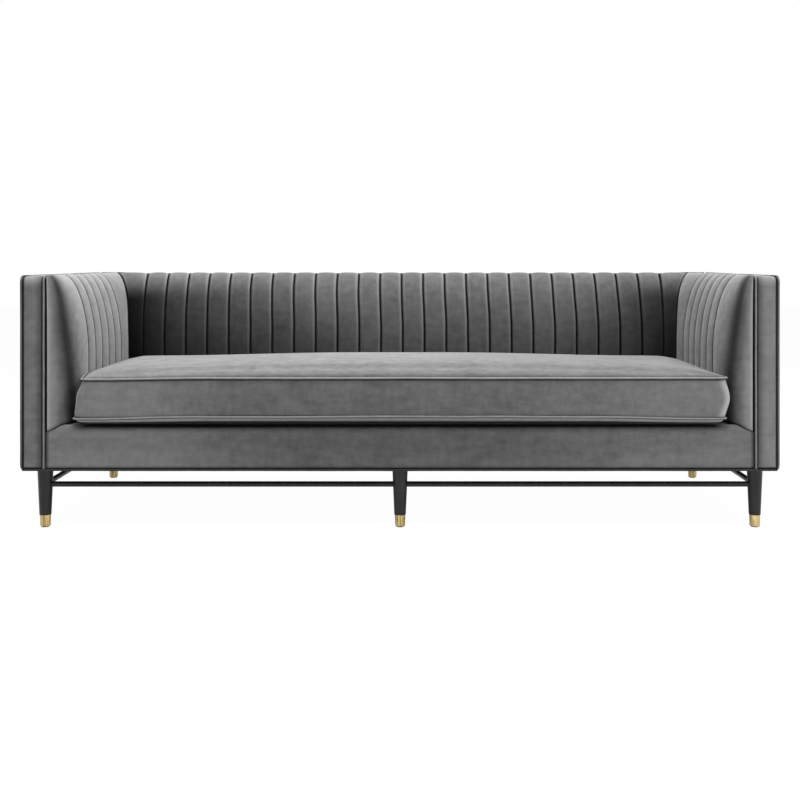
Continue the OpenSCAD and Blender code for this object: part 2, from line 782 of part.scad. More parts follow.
// Pads
module right_arm_pad() {
    color(velvet) pad_solid(arm_loops);
}
module left_arm_pad() {
    mirror([1, 0, 0]) right_arm_pad();
}
module back_pad() {
    color(velvet) pad_solid(back_loops);
}
module front_rail_pad() {
    color(velvet) translate([-arm_pad_x, 0, 0]) rotate([90, 0, 90]) linear_extrude(2 * arm_pad_x)
        difference() {
            union() {
                translate([front_y, low_welt_z + welt_clear])
                    square([rail_round_r, deck_z - rail_round_r - low_welt_z - welt_clear]);
                translate([front_y + rail_round_r, deck_z - rail_round_r])
                    circle(rail_round_r, $fn = round_fn);
            }
            translate([front_rail_back - front_rail_t, frame_z])
                square([rail_round_r * 2, seat_rail_top - frame_z]);
            translate([rail_pad_back, seat_rail_top - overrun]) square([rail_round_r * 2, rail_round_r * 2]);
        }
}

// Welts
module side_loop() {
    translate([side_welt_x, (front_welt_y + rear_welt_y) / 2, (low_welt_z + top_welt_z) / 2])
        rotate([90, 0, 90])
            cord_loop(rear_welt_y - front_welt_y, top_welt_z - low_welt_z, arm_corner_r, welt_d);
}
module right_side_welt() {
    color(welt_grey) side_loop();
}
module left_side_welt() {
    color(welt_grey) mirror([1, 0, 0]) side_loop();
}
module inner_welt() {
    color(welt_grey) {
        both_sides() {
            rod_z(low_welt_z + welt_clear, top_welt_z - arm_corner_r, inner_welt_x, front_welt_y, welt_d);
            translate([inner_welt_x, front_welt_y + arm_corner_r, top_welt_z - arm_corner_r])
                rotate([90, 0, -90]) quarter_bend(arm_corner_r, welt_d);
            rod_y(front_welt_y + arm_corner_r, back_welt_y - inner_corner_r, inner_welt_x, top_welt_z,
                welt_d);
            translate([inner_welt_x - inner_corner_r, back_welt_y - inner_corner_r, top_welt_z])
                quarter_bend(inner_corner_r, welt_d);
        }
        rod_x(-inner_welt_x + inner_corner_r, inner_welt_x - inner_corner_r, back_welt_y, top_welt_z,
            welt_d);
    }
}
module front_bottom_welt() {
    color(welt_grey)
        rod_x(-side_welt_x + welt_clear, side_welt_x - welt_clear, front_welt_y, low_welt_z, welt_d);
}
module back_edge_welts() {
    color(welt_grey) for (z = [low_welt_z, top_welt_z])
        rod_x(-side_welt_x + welt_clear, side_welt_x - welt_clear, rear_welt_y, z, welt_d);
}

// Legs and what holds them
ferrule_bore_top_d = ferrule_top_d - 2 * ferrule_wall;
ferrule_bore_foot_d = ferrule_foot_d - 2 * ferrule_wall;
rod_ends = leg_r_at_rod - rod_socket;
module leg_turned() {
    translate([0, 0, ferrule_top_z])
        cylinder(h = leg_top_z - ferrule_top_z, d1 = leg_foot_d, d2 = leg_top_d, $fn = round_fn);
    translate([0, 0, ferrule_z + ferrule_wall])
        cylinder(h = ferrule_h - ferrule_wall, d1 = ferrule_bore_foot_d - 2 * hole_play,
            d2 = ferrule_bore_top_d - 2 * hole_play, $fn = round_fn);
}
module leg(place) {
    color(black_lacquer) difference() {
        translate([place[0], place[1], 0]) {
            difference() {
                leg_turned();
                rod_z(leg_top_z - bolt_in_leg - seam_gap, leg_top_z + overrun, 0, 0, bolt_d + 2 * hole_play);
                rod_z(0, ferrule_z + glide_nail_l + seam_gap, 0, 0, glide_nail_d + 2 * hole_play);
            }
        }
        rods(hole_play);
    }
}
module front_left_leg() { leg(leg_places[0]); }
module front_middle_leg() { leg(leg_places[1]); }
module front_right_leg() { leg(leg_places[2]); }
module rear_left_leg() { leg(leg_places[3]); }
module rear_middle_leg() { leg(leg_places[4]); }
module rear_right_leg() { leg(leg_places[5]); }
module ferrules() {
    color(brass) at_legs() difference() {
        translate([0, 0, ferrule_z])
            cylinder(h = ferrule_h, d1 = ferrule_foot_d, d2 = ferrule_top_d, $fn = round_fn);
        translate([0, 0, ferrule_z + ferrule_wall])
            cylinder(h = ferrule_h - ferrule_wall, d1 = ferrule_bore_foot_d, d2 = ferrule_bore_top_d,
                $fn = round_fn);
        rod_z(0, ferrule_z + ferrule_h, 0, 0, glide_nail_d + 2 * hole_play);
        translate([0, 0, ferrule_top_z - overrun / 2])
            cylinder(h = overrun, d = ferrule_bore_top_d, $fn = round_fn);
    }
}
module floor_glides() {
    color(black_cloth) at_legs() {
        rod_z(0, glide_h, 0, 0, glide_d);
        rod_z(glide_h, glide_h + glide_nail_l, 0, 0, glide_nail_d);
    }
}
module leg_bolts() {
    color(steel) at_legs() rod_z(leg_top_z - bolt_in_leg, frame_z + bolt_in_frame, 0, 0, bolt_d);
}
module leg_plates() {
    color(steel) at_legs() difference() {
        translate([0, 0, plate_z]) linear_extrude(plate_t) union() {
            square([plate_w - 2 * plate_corner_r, plate_w], center = true);
            square([plate_w, plate_w - 2 * plate_corner_r], center = true);
            for (x = [-1, 1], y = [-1, 1])
                translate([x * (plate_w / 2 - plate_corner_r), y * (plate_w / 2 - plate_corner_r)])
                    circle(plate_corner_r, $fn = round_fn);
        }
        rod_z(plate_z - overrun, dust_z + overrun, 0, 0, bolt_d + 2 * hole_play);
        at_screws() rod_z(plate_z - overrun, dust_z + overrun, 0, 0, screw_d + 2 * hole_play);
    }
}
module plate_screws() {
    color(steel) at_legs() at_screws() {
        rod_z(plate_z - screw_head_h, plate_z, 0, 0, screw_head_d);
        rod_z(plate_z, plate_z + screw_l, 0, 0, screw_d);
    }
}
module front_rods(play) {
    both_sides()
        rod_x(rod_ends - play, leg_x - rod_ends + play, -leg_y, stretcher_z, rod_d + 2 * play);
}
module side_rods(play) {
    both_sides()
        rod_y(-leg_y + rod_ends - play, leg_y - rod_ends + play, leg_x, stretcher_z, rod_d + 2 * play);
}
module rods(play) {
    both_ends() front_rods(play);
    side_rods(play);
}
module front_stretchers() {
    color(black_lacquer) front_rods(0);
}
module rear_stretchers() {
    color(black_lacquer) mirror([0, 1, 0]) front_rods(0);
}
module side_stretchers() {
    color(black_lacquer) side_rods(0);
}

// Seat cushion: rounded rectangles, each drawn in by an inset and stacked up
corner_steps = 5;
function ring_r(inset) = inset < cushion_corner_r / 3 ?
    cushion_corner_r - inset :
    cushion_corner_r * 2 / 3 + (inset - cushion_corner_r / 3) * cushion_spread_share;
function ring(inset, z) = let (
    r = ring_r(inset),
    x = cushion_x - inset,
    y0 = cushion_y0 + inset,
    y1 = cushion_y1 - inset
) [
    for (q = [[x - r, y1 - r, 0], [-x + r, y1 - r, 90], [-x + r, y0 + r, 180], [x - r, y0 + r, 270]],
        k = [0 : corner_steps])
        let (a = q[2] + k * 90 / corner_steps)
        [q[0] + r * cos(a), q[1] + r * sin(a), z]
];
// Groove that a welt sits in, as [inset, height] seen from outside
function welt_groove(z) = [
    for (a = groove_angles) [welt_r + welt_clear * cos(a), z + welt_clear * sin(a)]
];
groove_angles = [-90, -45, 0, 45, 90];
function cushion_outline() = concat(
    [
        for (i = [0 : len(low_run_shares) - 1])
            [crown_run * low_run_shares[i],
                cushion_z + (cushion_low_z - welt_clear - cushion_z) * low_rise_shares[i]]
    ],
    welt_groove(cushion_low_z),
    [[welt_proud, cushion_low_z + welt_clear], [welt_proud, cushion_top_z - welt_clear]],
    welt_groove(cushion_top_z),
    [
        for (i = [0 : len(top_run_shares) - 1])
            [crown_run * top_run_shares[i],
                cushion_top_z + welt_clear + (cushion_crown_z - cushion_top_z - welt_clear) * top_rise_shares[i]]
    ]
);
// The same form drawn in all round, for the foam and the inside of the cover
function inner_outline(t) = concat(
    [
        for (i = [0 : len(low_run_shares) - 1])
            [crown_run * low_run_shares[i] + t,
                cushion_z + t + (cushion_low_z - welt_clear - cushion_z) * low_rise_shares[i]]
    ],
    [
        [welt_proud + welt_clear + t, cushion_low_z + welt_clear / 2],
        [welt_proud + t, cushion_low_z + 2 * welt_clear],
        [welt_proud + t, cushion_top_z - 2 * welt_clear],
        [welt_proud + welt_clear + t, cushion_top_z - welt_clear / 2]
    ],
    [
        for (i = [0 : len(top_run_shares) - 1])
            [crown_run * top_run_shares[i] + t,
                cushion_top_z + welt_clear - t
                    + (cushion_crown_z - cushion_top_z - welt_clear) * top_rise_shares[i]]
    ]
);
module cushion_form(outline) {
    n = 4 * (corner_steps + 1);
    loops = [for (p = outline) ring(p[0], p[1])];
    polyhedron(
        points = [for (loop = loops) each loop],
        faces = concat(
            skin_faces(len(loops), n),
            [[for (j = [0 : n - 1]) j]],
            [[for (j = [n - 1 : -1 : 0]) (len(loops) - 1) * n + j]]
        ),
        convexity = 6
    );
}
module cushion_cover() {
    color(velvet) difference() {
        cushion_form(cushion_outline());
        cushion_form(inner_outline(cushion_cover_t));
    }
}
module cushion_core() {
    color(foam) cushion_form(inner_outline(cushion_cover_t + seam_gap));
}
module cushion_welt(z) {
    translate([0, (cushion_y0 + cushion_y1) / 2, z])
        cord_loop(2 * (cushion_x - welt_r), cushion_d - welt_d, cushion_corner_r - welt_r, welt_d);
}
module cushion_top_welt() {
    color(welt_grey) cushion_welt(cushion_top_z);
}
module cushion_bottom_welt() {
    color(welt_grey) cushion_welt(cushion_low_z);
}

// Zip on the rear boxing
module zip_tape() {
    color(black_cloth) {
        box(-zip_l / 2, zip_l / 2, boxing_y, chain_y, boxing_mid_z - zip_tape_w / 2,
            boxing_mid_z + zip_tape_w / 2);
        box(-zip_l / 2 + slider_l, zip_l / 2 - slider_l, chain_y, chain_top_y,
            boxing_mid_z - zip_chain_w / 2, boxing_mid_z + zip_chain_w / 2);
    }
}
module zip_slider() {
    color(brass) difference() {
        union() {
            box(slider_x - slider_l / 2, slider_x + slider_l / 2, chain_y + slider_clear, slider_top_y,
                boxing_mid_z - slider_w / 2, boxing_mid_z + slider_w / 2);
            for (s = [-1, 1])
                box(slider_x - tab_barrel_d / 2, slider_x + tab_barrel_d / 2, slider_top_y,
                    tab_axis_y + tab_barrel_d / 2,
                    boxing_mid_z + s * (lug_z + lug_t / 2) - lug_t / 2,
                    boxing_mid_z + s * (lug_z + lug_t / 2) + lug_t / 2);
        }
        box(slider_x - slider_l / 2 - overrun, slider_x + slider_l / 2 + overrun, chain_y,
            chain_top_y + slider_clear, boxing_mid_z - zip_chain_w / 2 - slider_clear,
            boxing_mid_z + zip_chain_w / 2 + slider_clear);
        rod_z(boxing_mid_z - slider_w, boxing_mid_z + slider_w, slider_x, tab_axis_y,
            tab_pin_d + 2 * hole_play);
    }
}
module zip_pull_tab() {
    color(brass) {
        rod_z(boxing_mid_z - lug_z + slider_clear, boxing_mid_z + lug_z - slider_clear, slider_x,
            tab_axis_y, tab_barrel_d);
        rod_z(boxing_mid_z - lug_z - lug_t, boxing_mid_z + lug_z + lug_t, slider_x, tab_axis_y,
            tab_pin_d);
        box(slider_x, slider_x + tab_l, tab_axis_y - tab_t / 2, tab_axis_y + tab_t / 2,
            boxing_mid_z - tab_w / 2, boxing_mid_z + tab_w / 2);
    }
}

front_seat_rail();
rear_seat_rail();
side_seat_rails();
seat_cross_rails();
corner_blocks();
leg_blocks();
arm_front_posts();
rear_posts();
arm_top_rails();
arm_inner_boards();
back_top_rail();
back_tack_rail();
back_studs();
frame_dowels();
back_webbing();
back_burlap();
seat_springs();
spring_clips();
spring_tie_wires();
deck_burlap();
deck_pad();
dust_cover();
outer_back_cover();
left_outer_arm_cover();
right_outer_arm_cover();
left_border_strip();
right_border_strip();
back_top_strip();
left_arm_pad();
right_arm_pad();
back_pad();
front_rail_pad();
left_side_welt();
right_side_welt();
inner_welt();
front_bottom_welt();
back_edge_welts();
front_left_leg();
front_middle_leg();
front_right_leg();
rear_left_leg();
rear_middle_leg();
rear_right_leg();
ferrules();
floor_glides();
leg_bolts();
leg_plates();
plate_screws();
front_stretchers();
rear_stretchers();
side_stretchers();
cushion_cover();
cushion_core();
cushion_top_welt();
cushion_bottom_welt();
zip_tape();
zip_slider();
zip_pull_tab();
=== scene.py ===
# Tuxedo sofa in grey velvet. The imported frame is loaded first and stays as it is.
# Pads, covers, welts, cushion and zip are then made around it and get their cloth.
import json
import math

import bpy
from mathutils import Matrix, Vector, noise

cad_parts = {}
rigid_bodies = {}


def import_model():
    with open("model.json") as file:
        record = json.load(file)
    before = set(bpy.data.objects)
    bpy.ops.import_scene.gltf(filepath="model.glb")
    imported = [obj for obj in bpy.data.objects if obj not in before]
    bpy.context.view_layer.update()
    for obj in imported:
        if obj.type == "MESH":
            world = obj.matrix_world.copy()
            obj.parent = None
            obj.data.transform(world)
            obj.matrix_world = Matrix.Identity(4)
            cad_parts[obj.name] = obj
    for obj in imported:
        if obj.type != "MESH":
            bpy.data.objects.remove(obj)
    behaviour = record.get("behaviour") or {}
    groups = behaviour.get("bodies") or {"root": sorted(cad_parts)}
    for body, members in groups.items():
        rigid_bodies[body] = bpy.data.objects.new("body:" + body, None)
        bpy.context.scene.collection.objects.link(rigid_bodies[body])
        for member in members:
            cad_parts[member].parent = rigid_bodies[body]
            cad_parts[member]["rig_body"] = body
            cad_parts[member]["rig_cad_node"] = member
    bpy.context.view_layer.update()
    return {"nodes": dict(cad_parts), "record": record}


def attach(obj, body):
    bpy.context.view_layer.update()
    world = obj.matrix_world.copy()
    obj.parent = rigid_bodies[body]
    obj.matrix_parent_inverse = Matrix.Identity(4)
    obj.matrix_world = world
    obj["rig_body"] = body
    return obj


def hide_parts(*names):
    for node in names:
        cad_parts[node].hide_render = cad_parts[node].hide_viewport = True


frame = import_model()
nodes = frame["nodes"]
print("frame loaded:", len(nodes), "nodes")

# Lines of the sofa that several pieces share, in metres, as in the CAD source
sofa = {
    "frontY": -0.403,
    "rearY": 0.403,
    "sideX": 1.097,
    "topZ": 0.734,
    "lowZ": 0.1725,
    "weltR": 0.0035,
    "weltFrontY": -0.4025,
    "weltRearY": 0.4025,
    "weltSideX": 1.0965,
    "weltTopZ": 0.7335,
    "weltLowZ": 0.1730,
    "innerWeltX": 1.031,
    "backWeltY": 0.306,
    "armPadX": 1.0272,
    "backPadY": 0.3022,
    "crownZ": 0.738,
    "rollZ": 0.490,
    "deckZ": 0.300,
    "railRound": 0.031,
    "armRound": 0.016,
    "legX": 1.0395,
    "legY": 0.363,
}
mergeGap = 0.00001  # points closer than this are one point
seamGap = 0.0003  # room between a piece and the welt beside it
weltClear = sofa["weltR"] + seamGap


def deselectAll():
    if bpy.context.object is not None and bpy.context.object.mode != "OBJECT":
        bpy.ops.object.mode_set(mode="OBJECT")
    bpy.ops.object.select_all(action="DESELECT")


def pickOnly(piece):
    deselectAll()
    piece.select_set(True)
    bpy.context.view_layer.objects.active = piece


def editWhole(piece):
    # Into edit mode with all of the piece selected
    pickOnly(piece)
    bpy.ops.object.mode_set(mode="EDIT")
    bpy.ops.mesh.select_all(action="SELECT")


def smoothFaces(piece, degrees=50):
    pickOnly(piece)
    bpy.ops.object.shade_smooth_by_angle(angle=math.radians(degrees))
    deselectAll()


def useModifier(piece, kind, **settings):
    pickOnly(piece)
    bpy.ops.object.modifier_add(type=kind)
    modifier = piece.modifiers[-1]
    for name, value in settings.items():
        setattr(modifier, name, value)
    bpy.ops.object.modifier_apply(modifier=modifier.name)
    deselectAll()


def finishPiece(piece, body, slot, *replaced):
    piece.data.materials.clear()
    piece.data.materials.append(materials[slot])
    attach(piece, body)
    if replaced:
        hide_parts(*replaced)
    return piece


def finishPad(piece, body, slot, degrees, node):
    smoothFaces(piece, degrees)
    return finishPiece(piece, body, slot, node)


# Camera, fitted to the legs, the level tops and the channels of the photograph
view = {
    "place": (0.0467, -3.576, 0.781),
    "lens": 49.32,
    "shiftX": -0.020,
    "shiftY": -0.175,
}
deselectAll()
bpy.ops.object.camera_add(location=view["place"], rotation=(math.radians(90), 0, 0))
camera = bpy.context.object
camera.name = "photoCamera"
camera.data.lens = view["lens"]
camera.data.sensor_width = 36
camera.data.shift_x = view["shiftX"]
camera.data.shift_y = view["shiftY"]
bpy.context.scene.camera = camera
print("camera set")


# Node helpers
def place(tree, kind, x, y, **settings):
    node = tree.nodes.new(kind)
    node.location = (x, y)
    for name, value in settings.items():
        setattr(node, name, value)
    return node


def feed(tree, socket, value):
    # A number or colour is set on the socket, anything else is linked to it
    if isinstance(value, (int, float)):
        socket.default_value = value
    elif isinstance(value, tuple):
        socket.default_value = (*value, 1.0)
    else:
        tree.links.new(value, socket)


def mathNode(tree, x, y, operation, first, second):
    node = place(tree, "ShaderNodeMath", x, y, operation=operation)
    feed(tree, node.inputs[0], first)
    feed(tree, node.inputs[1], second)
    return node.outputs[0]


def noiseNode(tree, x, y, vector, scale, detail=2.0, roughness=0.5, distortion=0.0):
    node = place(tree, "ShaderNodeTexNoise", x, y)
    names = ("Vector", "Scale", "Detail", "Roughness", "Distortion")
    for name, value in zip(names, (vector, scale, detail, roughness, distortion)):
        feed(tree, node.inputs[name], value)
    return node.outputs["Fac"]


def stretchNode(tree, x, y, vector, scale):
    node = place(tree, "ShaderNodeMapping", x, y)
    node.inputs["Scale"].default_value = scale
    tree.links.new(vector, node.inputs["Vector"])
    return node.outputs["Vector"]


def newGroup(name, inputs, outputs):
    group = bpy.data.node_groups.new(name, "ShaderNodeTree")
    for label, kind, value in inputs:
        socket = group.interface.new_socket(name=label, in_out="INPUT", socket_type=kind)
        if value is not None:
            socket.default_value = value
    for label in outputs:
        group.interface.new_socket(name=label, in_out="OUTPUT", socket_type="NodeSocketFloat")
    entry = place(group, "NodeGroupInput", -900, 0)
    leave = place(group, "NodeGroupOutput", 700, 0)
    return group, entry.outputs, leave.inputs


vectorInput = ("Vector", "NodeSocketVector", None)


napShares = {"cloud": 0.22, "streak": 0.28, "thread": 0.33, "fibre": 0.17}  # of the shade


def makeNapGroup():
    # Marks in a pile cloth: soft clouds where it was brushed, streaks along the cloth, short fibres
    group, start, end = newGroup(
        "pileNap",
        [
            vectorInput,
            ("Cloud Scale", "NodeSocketFloat", 6.0),
            ("Streak Scale", "NodeSocketFloat", 40.0),
            ("Fibre Scale", "NodeSocketFloat", 900.0),
        ],
        ["Shade", "Height"],
    )
    cloud = noiseNode(group, -600, 300, start["Vector"], start["Cloud Scale"], 4.0, 0.55, 0.6)
    across = stretchNode(group, -700, 60, start["Vector"], (1.0, 1.0, 0.45))
    streak = noiseNode(group, -500, 60, across, start["Streak Scale"], 3.0, 0.6)
    along = stretchNode(group, -700, -160, start["Vector"], (0.40, 0.6, 1.0))
    thread = noiseNode(group, -500, -160, along, start["Streak Scale"], 3.0, 0.6)
    fibre = noiseNode(group, -500, -380, start["Vector"], start["Fibre Scale"], 2.0, 0.7)
    shade = 0.0
    for i, (name, marks) in enumerate((("cloud", cloud), ("streak", streak), ("thread", thread), ("fibre", fibre))):
        part = mathNode(group, -250, 300 - 180 * i, "MULTIPLY", marks, napShares[name])
        shade = mathNode(group, 130 * i - 50, 200, "ADD", part, shade)
    group.links.new(shade, end["Shade"])
    fine = mathNode(group, 0, -300, "MULTIPLY", fibre, 0.7)
    coarse = mathNode(group, 0, -460, "MULTIPLY", streak, 0.5)
    group.links.new(mathNode(group, 250, -300, "ADD", fine, coarse), end["Height"])
    return group


def makeWeaveGroup():
    # Over and under of threads, in whichever axis plane the cloth lies
    group, start, end = newGroup(
        "plainWeave",
        [vectorInput, ("Threads", "NodeSocketFloat", 900.0), ("Unevenness", "NodeSocketFloat", 0.3)],
        ["Height", "Mask"],
    )
    drift = noiseNode(group, -700, -250, start["Vector"], 30.0)
    split = place(group, "ShaderNodeSeparateXYZ", -700, 100)
    group.links.new(start["Vector"], split.inputs["Vector"])
    shifted = mathNode(group, -500, -250, "MULTIPLY", drift, start["Unevenness"])
    drifted = mathNode(group, -400, -400, "MULTIPLY", shifted, 9.0)
    waves = []
    for i, axis in enumerate("XYZ"):
        turns = mathNode(group, -500, 200 - 160 * i, "MULTIPLY", split.outputs[axis], start["Threads"])
        bent = mathNode(group, -350, 200 - 160 * i, "ADD", turns, drifted)
        waves.append(mathNode(group, -200, 200 - 160 * i, "SINE", bent, 0.0))
    xy = mathNode(group, 0, 200, "MULTIPLY", waves[0], waves[1])
    yz = mathNode(group, 0, 40, "MULTIPLY", waves[1], waves[2])
    xz = mathNode(group, 0, -120, "MULTIPLY", waves[0], waves[2])
    total = mathNode(group, 200, 100, "ADD", mathNode(group, 100, 120, "ADD", xy, yz), xz)
    height = mathNode(group, 350, 100, "MULTIPLY", total, 0.5)
    group.links.new(height, end["Height"])
    lifted = mathNode(group, 450, -60, "ADD", height, 0.5)
    group.links.new(mathNode(group, 550, -60, "MULTIPLY", lifted, drift), end["Mask"])
    return group


def makeGrainGroup():
    # Long grain with a few darker rings
    group, start, end = newGroup(
        "woodGrain",
        [vectorInput, ("Scale", "NodeSocketFloat", 12.0), ("Ring Scale", "NodeSocketFloat", 3.0)],
        ["Grain", "Height"],
    )
    long = stretchNode(group, -700, 200, start["Vector"], (0.06, 1.0, 1.0))
    fine = noiseNode(group, -450, 200, long, start["Scale"], 6.0, 0.65)
    rings = noiseNode(group, -450, -60, long, start["Ring Scale"], 2.0, 0.4, 1.2)
    banded = mathNode(group, -200, -60, "FRACT", mathNode(group, -300, -60, "MULTIPLY", rings, 6.0), 0.0)
    both = mathNode(group, 0, 100, "MULTIPLY", fine, mathNode(group, -100, -160, "ADD", banded, 0.4))
    group.links.new(both, end["Grain"])
    group.links.new(fine, end["Height"])
    return group


def makeWearGroup():
    # Faint wipes, dust and fine scratches on a hard finish; on the ferrule brass the long streaks are strong light and
    # dark bands of painted reflection
    group, start, end = newGroup(
        "wearAndReflectionBands",
        [vectorInput, ("Wipe Scale", "NodeSocketFloat", 25.0), ("Scratch Scale", "NodeSocketFloat", 350.0)],
        ["Wipes", "Scratches And Bands", "Height"],
    )
    wipes = noiseNode(group, -500, 200, start["Vector"], start["Wipe Scale"], 4.0, 0.6, 0.4)
    long = stretchNode(group, -700, -60, start["Vector"], (1.0, 1.0, 0.05))
    scratches = noiseNode(group, -500, -60, long, start["Scratch Scale"], 3.0, 0.6)
    group.links.new(wipes, end["Wipes"])
    group.links.new(scratches, end["Scratches And Bands"])
    low = mathNode(group, -200, -200, "MULTIPLY", wipes, 0.6)
    high = mathNode(group, -200, -320, "MULTIPLY", scratches, 0.4)
    group.links.new(mathNode(group, 0, -200, "ADD", low, high), end["Height"])
    return group


groups = {
    "nap": makeNapGroup(),
    "weave": makeWeaveGroup(),
    "grain": makeGrainGroup(),
    "wearAndBands": makeWearGroup(),
}


def startMaterial(name):
    material = bpy.data.materials.new(name)
    material.use_nodes = True
    tree = material.node_tree
    tree.nodes.clear()
    out = place(tree, "ShaderNodeOutputMaterial", 900, 0)
    shader = place(tree, "ShaderNodeBsdfPrincipled", 600, 0)
    tree.links.new(shader.outputs["BSDF"], out.inputs["Surface"])
    coords = place(tree, "ShaderNodeTexCoord", -900, 0)
    return material, tree, shader, coords.outputs["Object"]


def useGroup(tree, group, vector, x, y, **values):
    node = place(tree, "ShaderNodeGroup", x, y)
    node.node_tree = group
    tree.links.new(vector, node.inputs["Vector"])
    for name, value in values.items():
        node.inputs[name.replace("_", " ")].default_value = value
    return node.outputs


def dress(tree, shader, **values):
    # Sets or links the shader's own sockets
    for name, value in values.items():
        feed(tree, shader.inputs[name.replace("_", " ")], value)


def rampNode(tree, x, y, factor, stops):
    node = place(tree, "ShaderNodeValToRGB", x, y)
    tree.links.new(factor, node.inputs["Fac"])
    elements = node.color_ramp.elements
    while len(elements) < len(stops):
        elements.new(0.5)
    for element, (position, colour) in zip(elements, stops):
        element.position = position
        element.color = (*colour, 1.0)
    return node.outputs["Color"]


def mixColour(tree, x, y, kind, factor, first, second):
    node = place(tree, "ShaderNodeMix", x, y, data_type="RGBA", blend_type=kind)
    for socket, value in ((0, factor), (6, first), (7, second)):
        feed(tree, node.inputs[socket], value)
    return node.outputs[2]


def spreadNode(tree, x, y, value, low, high):
    node = place(tree, "ShaderNodeMapRange", x, y)
    tree.links.new(value, node.inputs["Value"])
    node.inputs["To Min"].default_value = low
    node.inputs["To Max"].default_value = high
    return node.outputs["Result"]


def bumpNode(tree, shader, height, strength, distance):
    node = place(tree, "ShaderNodeBump", 350, -350)
    node.inputs["Strength"].default_value = strength
    node.inputs["Distance"].default_value = distance
    tree.links.new(height, node.inputs["Height"])
    tree.links.new(node.outputs["Normal"], shader.inputs["Normal"])


velvetLook = {
    "dark": (0.087, 0.087, 0.088),
    "light": (0.154, 0.154, 0.156),
    "shadow": (0.0010, 0.0010, 0.0011),
    "highlight": (0.40, 0.40, 0.405),
    "paintedSheen": 2.9,
    "sheen": 0.14,
    "sheenRoughness": 0.34,
    "sheenTint": (0.95, 0.95, 0.96),
    "roughness": (0.82, 0.97),
    "specular": 0.05,
    "pucker": 150.0,
    "facing": 2.2,  # how soon the painted sheen pales the colour when looked across
    "pull": 9.0,
    "bump": (0.35, 0.0006),
}


def makeVelvet(name, cloud, streak, lift=1.0):
    # Painted sheen: the colour is dark looked straight into and painted paler looked across
    material, tree, shader, coords = startMaterial(name)
    nap = useGroup(tree, groups["nap"], coords, -600, 100, Cloud_Scale=cloud, Streak_Scale=streak, Fibre_Scale=1100.0)
    dark = tuple(c * lift for c in velvetLook["dark"])
    light = tuple(c * lift for c in velvetLook["light"])
    cloth = rampNode(tree, -300, 200, nap["Shade"], [(0.36, dark), (0.64, light)])
    # painted sheen, from the angle the surface is seen at
    weight = place(tree, "ShaderNodeLayerWeight", -500, 500)
    weight.inputs["Blend"].default_value = 0.5
    across = mathNode(tree, -300, 500, "POWER", weight.outputs["Facing"], velvetLook["facing"])
    paintedSheen = spreadNode(tree, -100, 500, across, 1.0, velvetLook["paintedSheen"])
    grey = place(tree, "ShaderNodeCombineColor", 50, 500)
    for socket in grey.inputs[:3]:
        tree.links.new(paintedSheen, socket)
    lit = mixColour(tree, 100, 300, "MULTIPLY", 1.0, cloth, grey.outputs["Color"])
    # painted light pales the colour towards the highlight colour, painted shade darkens it towards the shadow colour
    lightMark = place(tree, "ShaderNodeAttribute", -300, -220, attribute_name="paintedLight")
    highlighted = mixColour(tree, 180, 260, "MIX", lightMark.outputs["Fac"], lit, velvetLook["highlight"])
    shade = place(tree, "ShaderNodeAttribute", -300, -60, attribute_name="paintedShade")
    colour = mixColour(tree, 350, 150, "MIX", shade.outputs["Fac"], highlighted, velvetLook["shadow"])
    dress(
        tree, shader,
        Base_Color=colour,
        Roughness=spreadNode(tree, 100, -120, nap["Shade"], *velvetLook["roughness"]),
        Specular_IOR_Level=velvetLook["specular"],
        Sheen_Weight=velvetLook["sheen"],
        Sheen_Roughness=velvetLook["sheenRoughness"],
        Sheen_Tint=velvetLook["sheenTint"],
    )
    gather = place(tree, "ShaderNodeAttribute", -600, -500, attribute_name="gathered")
    upright = stretchNode(tree, -600, -650, coords, (1.0, 1.0, 0.10))
    pleats = noiseNode(tree, -400, -650, upright, velvetLook["pucker"], 1.0, 0.4)
    pull = mathNode(tree, -300, -500, "MULTIPLY", gather.outputs["Fac"], velvetLook["pull"])
    pulled = mathNode(tree, -200, -600, "MULTIPLY", pleats, pull)
    bumpNode(tree, shader, mathNode(tree, 150, -450, "ADD", nap["Height"], pulled), *velvetLook["bump"])
    return material


def makeWoven(name, threads, dark, light, roughness, depth):
    material, tree, shader, coords = startMaterial(name)
    weave = useGroup(tree, groups["weave"], coords, -600, 100, Threads=threads, Unevenness=0.35)
    cloud = noiseNode(tree, -600, -200, coords, 14.0, 3.0)
    tone = mathNode(tree, -300, 0, "ADD", mathNode(tree, -400, -100, "MULTIPLY", cloud, 0.45), weave["Mask"])
    colour = rampNode(tree, -100, 150, tone, [(0.2, dark), (0.75, light)])
    rough = spreadNode(tree, 100, -120, cloud, roughness - 0.08, roughness)
    dress(tree, shader, Base_Color=colour, Roughness=rough, Specular_IOR_Level=0.15)
    bumpNode(tree, shader, weave["Height"], 0.6, depth)
    return material


def makeWood(name):
    material, tree, shader, coords = startMaterial(name)
    grain = useGroup(tree, groups["grain"], coords, -600, 100, Scale=55.0, Ring_Scale=7.0)
    stops = [(0.12, (0.33, 0.20, 0.10)), (0.45, (0.56, 0.38, 0.21)), (0.85, (0.68, 0.50, 0.31))]
    colour = rampNode(tree, -200, 150, grain["Grain"], stops)
    dress(tree, shader, Base_Color=colour, Roughness=spreadNode(tree, 100, -120, grain["Grain"], 0.75, 0.58))
    bumpNode(tree, shader, grain["Height"], 0.3, 0.0004)
    return material


